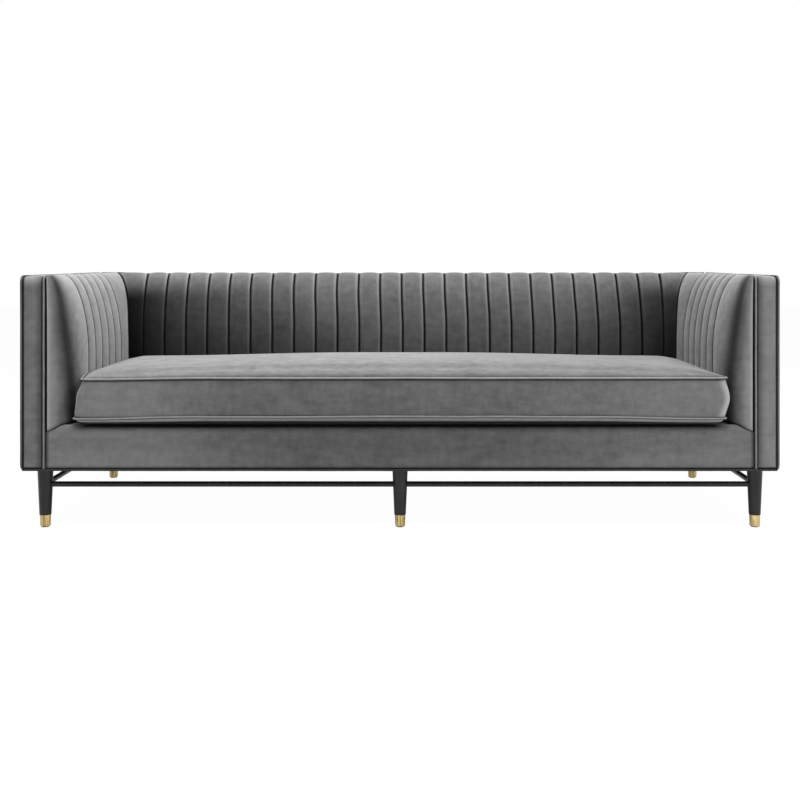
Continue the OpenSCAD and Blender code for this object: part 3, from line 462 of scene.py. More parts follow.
def makeHard(name, dark, light, roughness, metal, scratch, streaks=0.35, specular=0.5, depth=0.0001):
    material, tree, shader, coords = startMaterial(name)
    wearAndBands = useGroup(tree, groups["wearAndBands"], coords, -600, 100, Wipe_Scale=28.0, Scratch_Scale=scratch)
    wiped = mathNode(tree, -400, 160, "MULTIPLY", wearAndBands["Wipes"], 1 - streaks)
    scratchesAndBands = mathNode(tree, -400, 0, "MULTIPLY", wearAndBands["Scratches And Bands"], streaks)
    blend = mathNode(tree, -300, 100, "ADD", wiped, scratchesAndBands)
    colour = rampNode(tree, -100, 150, blend, [(0.35, dark), (0.68, light)])
    rough = spreadNode(tree, 100, -120, blend, *roughness)
    dress(tree, shader, Base_Color=colour, Roughness=rough, Metallic=metal, Specular_IOR_Level=specular)
    bumpNode(tree, shader, wearAndBands["Height"], 0.25, depth)
    return material


def makeFoam(name):
    material, tree, shader, coords = startMaterial(name)
    cells = place(tree, "ShaderNodeTexVoronoi", -600, -100)
    cells.inputs["Scale"].default_value = 420.0
    tree.links.new(coords, cells.inputs["Vector"])
    cloud = noiseNode(tree, -600, 150, coords, 9.0, 3.0)
    stops = [(0.3, (0.66, 0.58, 0.33)), (0.7, (0.80, 0.74, 0.50))]
    rough = spreadNode(tree, 100, -120, cells.outputs["Distance"], 0.95, 0.8)
    dress(tree, shader, Base_Color=rampNode(tree, -200, 150, cloud, stops), Roughness=rough)
    bumpNode(tree, shader, cells.outputs["Distance"], 0.5, 0.0008)
    return material


materials = {
    "velvet": makeVelvet("greyVelvet", 7.0, 55.0),
    # The welts' velvet is the body's velvet painted 12 per cent lighter, painted light; the deck cloth is a darker
    # cloth of its own
    "velvet_welt": makeVelvet("weltVelvet", 14.0, 90.0, 1.12),
    "deck_cloth": makeVelvet("deckVelvet", 9.0, 60.0, 0.4),
    "hardwood": makeWood("framePine"),
    "jute": makeWoven("juteCloth", 1300.0, (0.22, 0.14, 0.07), (0.50, 0.36, 0.20), 0.95, 0.0007),
    "black_cloth": makeWoven("blackCloth", 3200.0, (0.008, 0.008, 0.009), (0.035, 0.035, 0.038), 0.92, 0.0002),
    "spring_steel": makeHard("springWire", (0.30, 0.31, 0.32), (0.55, 0.56, 0.58), (0.30, 0.45), 1.0, 300.0),
    "zinc_steel": makeHard("zincPlate", (0.42, 0.43, 0.44), (0.66, 0.67, 0.69), (0.28, 0.48), 1.0, 260.0),
    "black_lacquer": makeHard(
        "blackLacquer", (0.003, 0.003, 0.0032), (0.014, 0.014, 0.0145), (0.24, 0.36), 0.0, 70.0,
        streaks=0.6, specular=0.30, depth=0.00015,
    ),
    # Painted reflection: strong light and dark bands down the brass, from the long streaks
    "ferrule_brass": makeHard(
        "ferruleBrass", (0.24, 0.155, 0.045), (0.94, 0.75, 0.38), (0.09, 0.20), 1.0, 210.0,
        streaks=0.85, depth=0.00005,
    ),
    "zip_brass": makeHard("zipBrass", (0.45, 0.32, 0.13), (0.66, 0.50, 0.24), (0.28, 0.42), 1.0, 420.0),
    "glide_plastic": makeHard("blackNylon", (0.016, 0.016, 0.016), (0.035, 0.035, 0.035), (0.5, 0.65), 0.0, 200.0),
    "foam": makeFoam("seatFoam"),
}
for part in frame["record"]["subparts"]:
    slots = nodes[part["node"]].data.materials
    slots.clear()
    slots.append(materials[part["material_slot"]])
print("materials made:", len(materials))


# Sheets of cloth are shaped from a grid, row by row
def shapedSheet(name, columns, rows, point):
    deselectAll()
    bpy.ops.mesh.primitive_grid_add(x_subdivisions=columns - 1, y_subdivisions=rows - 1, size=1)
    piece = bpy.context.object
    piece.name = name
    piece.data.name = name
    for row in range(rows):
        for column in range(columns):
            piece.data.vertices[row * columns + column].co = point(column, row)
    piece.data.update()
    deselectAll()
    return piece


def faceOut(piece, outward):
    piece.data.update()
    total = Vector()
    for face in piece.data.polygons:
        total += face.normal * face.area
    if total.dot(Vector(outward)) < 0:
        editWhole(piece)
        bpy.ops.mesh.flip_normals()
        deselectAll()


def closeBack(piece):
    editWhole(piece)
    bpy.ops.mesh.remove_doubles(threshold=mergeGap)
    bpy.ops.mesh.fill_holes(sides=0)
    bpy.ops.mesh.select_all(action="SELECT")
    bpy.ops.mesh.normals_make_consistent(inside=False)
    deselectAll()


# Cloth simulation that the pads and the cushion share
clothRun = {"quality": 4, "mass": 0.25, "bending_stiffness": 0.4, "air_damping": 2.0, "use_pressure": True}
clothSteps = 20


def pressUp(piece, held, pressure, limit, stiffness=8.0, inward=0.002):
    # The filling presses the cloth out between its seams, by no more than the limit,
    # and the foam under it holds it from sinking in
    rest = [v.co.copy() for v in piece.data.vertices]
    facing = [v.normal.copy() for v in piece.data.vertices]
    group = piece.vertex_groups.new(name="sewn")
    group.add([i for i in range(len(rest)) if held(i)], 1.0, "REPLACE")
    pickOnly(piece)
    bpy.ops.object.modifier_add(type="CLOTH")
    cloth = piece.modifiers[-1]
    for name, value in clothRun.items():
        setattr(cloth.settings, name, value)
    cloth.settings.tension_stiffness = stiffness
    cloth.settings.compression_stiffness = stiffness
    cloth.settings.shear_stiffness = stiffness / 2
    cloth.settings.uniform_pressure_force = pressure
    cloth.settings.effector_weights.gravity = 0.0
    cloth.settings.vertex_group_mass = "sewn"
    cloth.collision_settings.use_collision = False
    cloth.collision_settings.use_self_collision = False
    cloth.point_cache.frame_start = 1
    cloth.point_cache.frame_end = clothSteps
    for step in range(1, clothSteps + 1):
        bpy.context.scene.frame_set(step)
    bpy.ops.object.modifier_apply(modifier=cloth.name)
    bpy.context.scene.frame_set(1)
    most = 0.0
    for vertex, start, normal in zip(piece.data.vertices, rest, facing):
        move = vertex.co - start
        most = max(most, move.length)
        sunk = -inward - move.dot(normal)
        if sunk > 0:
            move += normal * sunk
        if move.length > limit:
            move *= limit / move.length
        vertex.co = start + move
    print("  cloth of", piece.name, "moved by up to", round(most * 1000, 1), "mm")
    piece.vertex_groups.clear()
    deselectAll()


def markCloth(piece, value, name="paintedShade"):
    # Marks on the mesh: one of painted shade, which darkens the colour, and one of painted light, which pales it.
    # gathered: how far a seam draws the cloth in
    attribute = piece.data.attributes.new(name, "FLOAT", "POINT")
    for i, vertex in enumerate(piece.data.vertices):
        attribute.data[i].value = min(1.0, max(0.0, value(i, vertex.co)))


def ease(value, low, high):
    # 0 below low, 1 above high, smooth between
    share = min(1.0, max(0.0, (value - low) / (high - low)))
    return share * share * (3 - 2 * share)


def band(value, rise, fall):
    # Comes up over the first span and goes down again over the second
    return ease(value, *rise) * (1 - ease(value, *fall))


sideSpan = (0.45, 0.88)


def sideLight(x, left, right):
    # How much light is painted on towards the ends of a front piece
    return left * ease(-x, *sideSpan) + right * ease(x, *sideSpan)


def clipRound(radius, depth):
    inner = max(0.0, radius - depth)
    return radius - math.sqrt(max(0.0, radius * radius - inner * inner))


# Rows of the pads from the deck up and over: all pads share their heights
padShape = {
    "lowRows": 14,
    "rollRows": 40,
    # thickness, how much of the roll's curve is used, how far the foot is tucked in
    "arm": (0.079, 0.992, 0.0),
    "back": (0.088, 0.978, 0.070),
    "topThick": 0.005,
    "edgeDrop": 0.0075,
    "edgeTuck": 0.0006,
    "slack": 0.003,
    "seamDepth": 0.0095,
    "seamTuck": 0.0035,
    "seamWander": 0.0007,
    "roundness": 2.2,
    "crest": 0.0022,
    "pressure": 14.0,
    "seamSpan": (0.0012, 0.0048),
}
padRowCount = padShape["lowRows"] + padShape["rollRows"] + 1
padFoot = sofa["deckZ"] + 2 * seamGap
# Where the grid lines of one channel lie, as shares of its width
channelSteps = [0.0, 0.02, 0.045, 0.08, 0.13, 0.21, 0.32, 0.44, 0.56, 0.68, 0.79, 0.87, 0.92, 0.955, 0.98]


def padRow(index, kind, low, high):
    # Thickness and height of one row of a pad at its crest
    thick, share, tuck = padShape[kind]
    if index <= padShape["lowRows"]:
        angle = math.radians(90) * (1 - index / padShape["lowRows"])
        return thick - tuck * (1 - math.cos(angle)), sofa["rollZ"] - math.sin(angle) * (sofa["rollZ"] - low)
    spread = padShape["back"][1]
    s = math.sin(math.asin(spread) * (index - padShape["lowRows"]) / padShape["rollRows"]) / spread
    depth = (thick - padShape["topThick"]) / (1 - math.sqrt(1 - share * share))
    out = thick - depth + depth * math.sqrt(max(0.0, 1 - share * share * s * s))
    return out, sofa["rollZ"] + (high - sofa["rollZ"]) * s


def padNormal(index, kind, low, high):
    before = padRow(max(0, index - 1), kind, low, high)
    after = padRow(min(padRowCount - 1, index + 1), kind, low, high)
    along = Vector((after[0] - before[0], after[1] - before[1])).normalized()
    return along.y, -along.x


def channelDip(share, depth):
    # Cross section of a sewn channel: full in the middle, steep at the seams
    p = padShape["roundness"]
    return depth * (1 - (1 - min(1.0, abs(2 * share - 1)) ** p) ** (1 / p))


def seamShade(distance):
    # Dark in the seam itself, gone about 5 mm away from it
    return 1 - ease(distance, *padShape["seamSpan"])


def crestRise(index, share):
    # Fullness of a channel over the top of the roll, most in its middle
    return padShape["crest"] * ease(index, padShape["lowRows"] + 6, padRowCount - 4) * (1 - abs(2 * share - 1) ** 5)


# Back pad: even channels, with a wider one at each end that runs into the corner
backPad = {
    "pitch": 0.0754,
    "halfChannels": 12,
    "fill": 0.75,
    "cornerDip": 0.0015,
    "cornerGrow": (0.004, 0.010),
    "growZ": (0.52, 0.73),
    # The seams lean over towards the top, and the end ones at their foot
    "leanTop": -0.0048,
    "leanTopZ": (0.54, 0.70),
    "leanTopStop": (0.80, 0.94),
    "leanTopLeft": (0.45, 0.80),
    "leanEnd": 0.0050,
    "leanEndLeft": ((0.65, 0.90), (0.91, 0.94)),
    "tuckZ": (0.64, 0.72),
    # How much shade is painted on, and over which heights and widths
    "darkTop": 0.19,
    "darkMid": 0.10,
    "midZ": (0.62, 0.72),
    "paleLeft": (0.35, 0.70),
    "darkLow": 0.27,
    "lowZ": (0.48, 0.66),
    "lowLeft": (0.08, 0.30),
    "cornerLeft": ((0.64, (0.25, 0.75)), (0.34, (0.72, 0.97))),
    "cornerRight": (0.80, (0.62, 0.95)),
    "cornerZ": (0.640, 0.738),
    # Distances from the seam on the left and on the right, for the painted seam shade and the painted light beside it
    "seamLeft": (0.0022, 0.0074),
    "seamRight": (0.0018, 0.0040),
    "rim": 0.34,
    "rimRight": ((0.0012, 0.0034), (0.0060, 0.0120)),
    "rimLeft": ((0.0034, 0.0080), (0.0090, 0.0160)),
    "rimFadeX": (0.2, 0.8),
    "rimLeftZ": (0.52, 0.66),
}


def cornerGrow(z):
    # The last channel of an arm swells where the back pad presses it
    least, more = backPad["cornerGrow"]
    return least + more * ease(z, *backPad["growZ"])


def makeBackPad():
    pitch = backPad["pitch"]
    endX = pitch * backPad["halfChannels"]
    spots = [("corner", 1.0, -1)]  # kind, share of the channel, channel or side
    spots += [("end", share, -1) for share in reversed(channelSteps[1:])]
    for channel in range(-backPad["halfChannels"], backPad["halfChannels"]):
        spots += [("even", share, channel) for share in channelSteps]
    spots.append(("even", 0.0, backPad["halfChannels"]))
    spots += [("end", share, 1) for share in channelSteps[1:]]
    spots.append(("corner", 1.0, 1))
    columns = len(spots) + 2
    rows = padRowCount + 2

    def spotAt(column):
        return spots[min(max(column - 1, 0), len(spots) - 1)]

    def onSeam(column):
        return spotAt(column)[1] in (0.0, 1.0)

    def point(column, row):
        inner = min(max(row - 1, 0), padRowCount - 1)
        kind, share, channel = spotAt(column)
        thick, height = padRow(inner, "back", padFoot, sofa["crownZ"])
        sideways, upward = padNormal(inner, "back", sofa["deckZ"], sofa["crownZ"])
        armThick = padRow(inner, "arm", padFoot, sofa["crownZ"])[0]
        cornerX = sofa["armPadX"] - armThick + backPad["cornerDip"] - cornerGrow(height)
        dip = channelDip(share, padShape["seamDepth"])
        if kind != "even" and share > 0.5:
            dip *= backPad["cornerDip"] / padShape["seamDepth"]
        x = (channel + share) * pitch if kind == "even" else channel * (endX + (cornerX - endX) * share)
        if kind != "corner":
            x += padShape["seamWander"] * noise.noise(Vector((round(x / pitch) * 3.7, height * 14, 2.0)))
            lean = backPad["leanTop"] * ease(height, *backPad["leanTopZ"]) * (1 - ease(abs(x), *backPad["leanTopStop"]))
            x += lean * (1 - ease(-x, *backPad["leanTopLeft"]))
            x += backPad["leanEnd"] * band(-x, *backPad["leanEndLeft"])
        dip += padShape["slack"] * (1 - dip / padShape["seamDepth"]) - crestRise(inner, share)
        y = sofa["backPadY"] - (thick - sideways * dip)
        z = height - upward * dip
        if column in (0, columns - 1):
            x = channel * sofa["armPadX"]
        if row in (0, rows - 1) or column in (0, columns - 1):
            y = sofa["backPadY"]
            z = min(z, sofa["crownZ"] - padShape["edgeDrop"])
            if row == rows - 1:  # snug against the inner welt
                y, z = y + padShape["edgeTuck"], sofa["crownZ"] - padShape["edgeDrop"]
        return Vector((x, y, z))

    piece = shapedSheet("backPad", columns, rows, point)
    faceOut(piece, (0, -1, 0.3))

    def held(i):
        row, column = divmod(i, columns)
        inside = 2 <= row <= rows - 3 and 2 <= column <= columns - 3
        return not inside or onSeam(column)

    pressUp(piece, held, padShape["pressure"], padShape["slack"])
    for i, vertex in enumerate(piece.data.vertices):
        row, column = divmod(i, columns)
        if 0 < column < columns - 1 and 1 < row < rows - 2 and onSeam(column):
            vertex.co.y += padShape["seamTuck"]
            vertex.co.z -= padShape["seamTuck"] * ease(vertex.co.z, *backPad["tuckZ"])

    def beside(i):
        # Distances of a point from the seam on its left and the one on its right
        kind, share, channel = spotAt(i % columns)
        if kind != "even" and channel < 0:
            share = 1 - share
        return share * pitch, (1 - share) * pitch

    # Painted shade: a little over all of the pad, more lower down, most in the seams and in the corners by the arms
    def shadeOf(i, co):
        left, right = beside(i)
        seam = max(1 - ease(left, *backPad["seamLeft"]), 1 - ease(right, *backPad["seamRight"]))
        low = backPad["darkTop"] + backPad["darkMid"] * (1 - ease(co.z, *backPad["midZ"]))
        low *= 1 - 0.85 * ease(-co.x, *backPad["paleLeft"])
        low += backPad["darkLow"] * (1 - ease(co.z, *backPad["lowZ"])) * (0.4 + 0.6 * ease(-co.x, *backPad["lowLeft"]))
        dark, span = backPad["cornerRight"]
        reach = max(dark * ease(co.x, *span), sum(dark * ease(-co.x, *span) for dark, span in backPad["cornerLeft"]))
        corner = reach * (1 - ease(co.z, *backPad["cornerZ"]))
        return 1 - (1 - seam) * (1 - low) * (1 - corner)

    def rim(i, co):
        # Painted light beside a seam, most on the side that faces the light
        left, right = beside(i)
        lit = band(right, *backPad["rimRight"]) * (1 - 0.5 * ease(co.x, *backPad["rimFadeX"]))
        far = band(left, *backPad["rimLeft"]) * 0.4 * ease(co.z, *backPad["rimLeftZ"])
        return backPad["rim"] * max(lit, far)

    markCloth(piece, shadeOf)
    markCloth(piece, rim, "paintedLight")
    closeBack(piece)
    return finishPad(piece, "sofa_body", "velvet", 70, "back_pad")


makeBackPad()
print("back pad made")


# Arm pads: a plain rounded nose, then channels back to the corner
armPad = {
    "noseGap": 0.003,
    "noseLength": 0.130,
    "noseSteps": 20,
    "flatShares": (0.25, 0.5, 0.7, 0.84, 0.92, 0.96, 0.985),
    "firstSeam": 0.182,
    "channels": 6,
    "edge": 0.003,
    "edgeRun": 0.0004,
    "edgeY": 0.0044,
    "footDip": 0.004,
    "footDipRows": (0, 2.5),
    "cornerY": 0.2197,
    "fill": 0.75,
    # Turns on the nose are in degrees: 0 at the inner welt, 90 where the flat part begins
    # A band of painted shade down the nose, and where it lies; the cloth has no fold there
    "bandTurn": 39,
    "bandLow": 18,
    "bandZ": (0.30, 0.58),
    "bandWander": 5,
    "bandWidth": 17,
    "bandShade": 0.84,
    # Painted shade by the welt and at the foot
    "gapTurn": (0.9, 2.3),
    "footDark": 0.9,
    "footRows": (1.5, 4),
    "footColumns": (0.5, 2.5),
    # Painted light on the nose by the welt
    "noseRim": 0.85,
    "noseRimTurn": 7,
    "noseLight": 0.30,
    "noseLightZ": (0.40, 0.64),
    "noseLightTurn": (6, 30),
    # Painted shade and painted light over the rest of each arm: the left one paler, the right one darker
    "restLeft": (0.0, 0.16),
    "restRight": (0.15, 0.0),
    "restDarkTurn": (30, 80),
    "restPaleTurn": (60, 85),
}


def makeArmPad(side):
    frontY = sofa["frontY"]
    noseY = frontY + armPad["noseGap"]
    flatY = noseY + armPad["noseLength"]
    seamY = frontY + armPad["firstSeam"]
    pitch = (armPad["cornerY"] - seamY) / armPad["channels"]
    lastSeamY = seamY + (armPad["channels"] - 1) * pitch
    spots = []  # y, how far the nose is round, dip, kind
    for turn in [0.0, 1.0, 2.2] + [90 * i / armPad["noseSteps"] for i in range(1, armPad["noseSteps"] + 1)]:
        angle = math.radians(turn)
        spots.append((noseY + armPad["noseLength"] * (1 - math.cos(angle)), math.sin(angle), 0.0, "nose"))
    for share in armPad["flatShares"]:
        spots.append((flatY + (seamY - flatY) * share, 1.0, channelDip(0.5 - share / 2, padShape["seamDepth"]), "flat"))
    for channel in range(armPad["channels"]):
        spots.append((seamY + channel * pitch, 1.0, padShape["seamDepth"], "seam"))
        for share in channelSteps[1:]:
            dip = channelDip(share, padShape["seamDepth"])
            if channel == armPad["channels"] - 1 and share > 0.5:
                dip *= backPad["cornerDip"] / padShape["seamDepth"]
            spots.append((seamY + (channel + share) * pitch, 1.0, dip, "flat"))
    spots.append((armPad["cornerY"], 1.0, backPad["cornerDip"], "seam"))
    columns = len(spots) + 2
    rows = padRowCount + 2
    seamYs = [spot[0] for spot in spots if spot[3] == "seam"]

    def spotAt(column):
        return spots[min(max(column - 1, 0), len(spots) - 1)]

    def point(column, row):
        inner = min(max(row - 1, 0), padRowCount - 1)
        spotY, nose, dip = spotAt(column)[:3]
        low = sofa["deckZ"] - clipRound(sofa["railRound"], spotY - frontY) + 2 * seamGap
        high = sofa["crownZ"] - clipRound(sofa["armRound"], spotY - frontY)
        thick, height = padRow(inner, "arm", low, high)
        sideways, upward = padNormal(inner, "arm", low, high)
        bulge = max(0.0, 1 - dip / padShape["seamDepth"]) * ease(spotY, noseY, flatY)
        y = spotY
        if y > lastSeamY:  # the last channel ends at the back pad, whatever its thickness there
            backThick = padRow(inner, "back", padFoot, sofa["crownZ"])[0]
            cornerY = sofa["backPadY"] - backThick + backPad["cornerDip"] - 2 * seamGap
            y = lastSeamY + (cornerY - lastSeamY) * (y - lastSeamY) / (armPad["cornerY"] - lastSeamY)
        dip += padShape["slack"] * (1 - dip / padShape["seamDepth"]) * nose
        dip -= padShape["crest"] * ease(inner, padShape["lowRows"] + 8, padRowCount - 4) * bulge
        dip += armPad["footDip"] * (1 - ease(inner, *armPad["footDipRows"]))
        x = sofa["armPadX"] - armPad["edge"] - (thick - armPad["edge"] - sideways * dip) * nose
        x -= cornerGrow(height) * ease(spotY, lastSeamY, armPad["cornerY"])
        z = height - upward * dip
        if column == columns - 1:
            y = sofa["backPadY"] - 2 * seamGap
        if row in (0, rows - 1) or column in (0, columns - 1):
            x = sofa["armPadX"]
            z = min(z, high - padShape["edgeDrop"])
            if row == rows - 1:
                x, z = x + padShape["edgeTuck"], high - padShape["edgeDrop"]
        if column == 0:  # runs in behind the inner welt
            x = sofa["innerWeltX"] - armPad["edgeRun"]
            y = frontY + armPad["edgeY"]
        return Vector((x * side, y, z))

    piece = shapedSheet("rightArmPad" if side > 0 else "leftArmPad", columns, rows, point)
    faceOut(piece, (-side, 0, 0.3))

    def held(i):
        row, column = divmod(i, columns)
        inside = 2 <= row <= rows - 3 and 2 <= column <= columns - 3
        return not inside or spotAt(column)[3] == "seam"

    pressUp(piece, held, padShape["pressure"], padShape["slack"])
    for i, vertex in enumerate(piece.data.vertices):
        row, column = divmod(i, columns)
        if 0 < column < columns - 2 and 1 < row < rows - 2 and spotAt(column)[3] == "seam":
            vertex.co.x += side * padShape["seamTuck"]

    restDark, restPale = armPad["restRight"] if side > 0 else armPad["restLeft"]

    def turnAt(column):
        return math.degrees(math.asin(min(1.0, spotAt(column)[1])))

    # Painted shade: in the seams, in a band down the nose, by the welt, at the foot and over the rest of the right arm
    def shadeOf(i, co):
        row, column = divmod(i, columns)
        turn = turnAt(column)
        keep = 1 - seamShade(min(abs(spotAt(column)[0] - y) for y in seamYs))
        if spotAt(column)[3] == "nose":
            centre = armPad["bandTurn"] + armPad["bandLow"] * (1 - ease(co.z, *armPad["bandZ"]))
            centre += armPad["bandWander"] * noise.noise(Vector((co.z * 5, side, 0)))
            keep *= 1 - math.exp(-((turn - centre) / armPad["bandWidth"]) ** 2) * armPad["bandShade"]
            keep *= ease(turn, *armPad["gapTurn"])
        foot = 1 - ease(row, *armPad["footRows"]) * ease(column, *armPad["footColumns"])
        return 1 - keep * (1 - armPad["footDark"] * foot) * (1 - restDark * ease(turn, *armPad["restDarkTurn"]))

    # Painted light: on the nose by the welt, and over the rest of the left arm
    def rise(i, co):
        column = i % columns
        if spotAt(column)[3] != "nose":
            return restPale
        turn = turnAt(column)
        wide = armPad["noseLight"] * (1 - 0.7 * ease(co.z, *armPad["noseLightZ"]))
        wide *= 1 - ease(turn, *armPad["noseLightTurn"])
        edge = armPad["noseRim"] * math.exp(-turn / armPad["noseRimTurn"])
        return max(edge, wide, restPale * ease(turn, *armPad["restPaleTurn"]))

    markCloth(piece, shadeOf)
    markCloth(piece, rise, "paintedLight")
    closeBack(piece)
    node = "right_arm_pad" if side > 0 else "left_arm_pad"
    return finishPad(piece, "sofa_body", "velvet", 70, node)


makeArmPad(-1)
makeArmPad(1)
print("arm pads made")


# Front rail pad: cloth pulled down over the rounded rail
railPad = {
    "columns": 170,
    "frontRows": 14,
    "roundRows": 12,
    "crestY": -0.3722,
    "railY": -0.3901,
    "railTopZ": 0.2682,
    "flange": (0.004, 0.0030),  # in from the front and down, behind the bottom welt
    "lip": 0.0012,
    "footRise": 0.004,
    "slack": 0.0012,
    "pressure": 5.0,
    "limit": 0.0020,
    "stiffness": 15.0,
    "fill": 0.9,
    # Painted shade across the middle, higher up, at the ends, at the foot and in under the cushion; painted light
    # towards both ends
    "middleDark": 0.22,
    "middleX": (0.25, 0.80),
    "highDark": 0.14,
    "highZ": (0.19, 0.26),
    "endSpan": (0.0008, 0.0045),
    "footSpan": (0.0008, 0.0055),
    "underY": (0.012, 0.024),  # behind the front, in under the cushion
    "underX": 0.945,
    "leftPale": 0.12,
    "rightPale": 0.05,
}


def makeRailPad():
    frontY, roundR = sofa["frontY"], sofa["railRound"]
    lowZ = sofa["weltLowZ"] + weltClear
    highZ = sofa["deckZ"] - roundR
    behind = (railPad["railY"], lowZ)
    flange = (frontY + railPad["flange"][0], lowZ - railPad["flange"][1])
    path = [behind, flange, (frontY + railPad["lip"], lowZ + railPad["lip"])]
    footZ = lowZ + railPad["footRise"]
    for i in range(railPad["frontRows"]):
        path.append((frontY, footZ + (highZ - lowZ - railPad["footRise"]) * i / railPad["frontRows"]))
    for i in range(railPad["roundRows"] + 1):
        angle = math.radians(90) * i / railPad["roundRows"]
        path.append((frontY + roundR * (1 - math.cos(angle)), highZ + roundR * math.sin(angle)))
    last = len(path) - 1
    path += [(railPad["crestY"], railPad["railTopZ"]), (railPad["railY"], railPad["railTopZ"]), behind]
    columns = railPad["columns"]
    half = sofa["armPadX"] - seamGap

    def point(column, row):
        y, z = path[row]
        x = half * (2 * column / (columns - 1) - 1)
        inside = 0 < column < columns - 1 and 2 < row < last
        pull = railPad["slack"] * (0.7 + 0.6 * noise.noise(Vector((x * 5, y * 9, z * 9)))) if inside else 0.0
        return Vector((x, y + pull, z - pull * (z > highZ)))

    piece = shapedSheet("frontRailPad", columns, len(path), point)
    faceOut(piece, (0, -1, 0))

    def held(i):
        row, column = divmod(i, columns)
        return row < 3 or row >= last or column < 1 or column > columns - 2

    pressUp(piece, held, railPad["pressure"], railPad["limit"], railPad["stiffness"])

    # Painted shade: at the ends by the welts, at the foot, in under the cushion, across the middle and higher up
    def shadeOf(i, co):
        keep = ease(half - abs(co.x), *railPad["endSpan"]) * ease(co.z - lowZ, *railPad["footSpan"])
        keep *= 1 - ease(co.y - frontY, *railPad["underY"]) * ease(railPad["underX"] - abs(co.x), 0.0, 0.03)
        keep *= 1 - railPad["middleDark"] * (1 - ease(abs(co.x), *railPad["middleX"]))
        return 1 - keep * (1 - railPad["highDark"] * ease(co.z, *railPad["highZ"]))

    markCloth(piece, shadeOf)
    markCloth(piece, lambda i, co: sideLight(co.x, railPad["leftPale"], railPad["rightPale"]), "paintedLight")
    closeBack(piece)
    return finishPad(piece, "sofa_body", "velvet", 50, "front_rail_pad")


makeRailPad()
print("front rail pad made")


# Flat covers: cloth over wadding, a little full between the welts and drawn in at the edges
coverCloth = {
    "dome": 0.0019,
    "edgeDrop": 0.0030,
    "fullSpan": 0.009,
    "ripple": 0.0005,
    "pull": 0.00025,
    "pullRate": 90,
    "pullSpan": 0.02,
    "step": 0.012,
    "edgeSteps": (0.0, 0.0012, 0.003, 0.006, 0.010, 0.016, 0.024),
    "turned": (-0.0029, -0.0044),  # heights of the cloth where it turns down and in behind the welt
    "fill": 0.95,
}


def coverEdge(a, b, width, height):
    return min(a, width - a, b, height - b)


def coverHeight(a, b, width, height, seed):
    edge = max(0.0, coverEdge(a, b, width, height))
    fullness = 1 - math.exp(-edge / coverCloth["fullSpan"])
    bumps = noise.noise(Vector((a * 7 + seed, b * 7, seed))) * coverCloth["ripple"]
    waves = math.sin((a + b) * coverCloth["pullRate"] + seed)
    pulls = waves * coverCloth["pull"] * math.exp(-edge / coverCloth["pullSpan"])
    return coverCloth["dome"] * fullness - coverCloth["edgeDrop"] * (1 - fullness) + (bumps + pulls) * fullness


def coverSteps(length):
    # Close lines at both edges, even ones between
    inner = list(coverCloth["edgeSteps"])
    count = max(2, round((length - 2 * inner[-1]) / coverCloth["step"]))
    middle = [inner[-1] + (length - 2 * inner[-1]) * i / count for i in range(1, count)]
    return inner + middle + [length - s for s in reversed(inner)]


def makeCover(name, width, height, spotOf, outward, slot, node, seed, under=0.0034, rise=None, extraShade=None):
    # spotOf(a, b, lift) is the point at a across and b up. Two more rows and columns
    # at each edge turn the cloth down and run it in behind the welt.
    across = coverSteps(width)
    upward = coverSteps(height)
    columns = len(across) + 5  # the last column meets the first one behind
    rows = len(upward) + 4

    def alongEdge(index, steps, length):
        if index <= 1:
            return (-under, 2) if index == 0 else (0.0, 1)
        if index >= len(steps) + 2:
            return (length + under, 2) if index == len(steps) + 3 else (length, 1)
        return steps[index - 2], 0

    def point(column, row):
        a, ringA = alongEdge(column % (columns - 1), across, width)
        b, ringB = alongEdge(row, upward, height)
        ring = max(ringA, ringB)
        if ring == 0:
            return spotOf(a, b, coverHeight(a, b, width, height, seed))
        if ring == 1:
            a, b = min(max(a, 0.0), width), min(max(b, 0.0), height)
        return spotOf(a, b, coverCloth["turned"][ring - 1])

    piece = shapedSheet(name, columns, rows, point)
    faceOut(piece, outward)

    # Painted shade: black where the cloth turns in behind the welt, dark along the seams, and any more painted shade
    # that the caller gives
    def shadeOf(i, co):
        row, column = divmod(i, columns)
        a, ringA = alongEdge(column % (columns - 1), across, width)
        b, ringB = alongEdge(row, upward, height)
        if ringA or ringB:
            return 1.0
        calm = extraShade(a) if extraShade is not None else 0.0
        return 1 - (1 - seamShade(coverEdge(a, b, width, height))) * (1 - calm)

    markCloth(piece, shadeOf)
    # Painted light, where the caller gives it
    if rise is not None:
        markCloth(piece, lambda i, co: rise(alongEdge(i // columns, upward, height)[0]), "paintedLight")
    closeBack(piece)
    return finishPad(piece, "sofa_body", slot, 50, node)


def roundedSpot(a, b, width, height, radius):
    # Draws the corners of a rectangle in to an arc
    cornerA = min(max(a, radius), width - radius)
    cornerB = min(max(b, radius), height - radius)
    da, db = a - cornerA, b - cornerB
    if abs(da) < 1e-9 or abs(db) < 1e-9:
        return a, b
    scale = max(abs(da), abs(db)) / math.hypot(da, db)
    return cornerA + da * scale, cornerB + db * scale


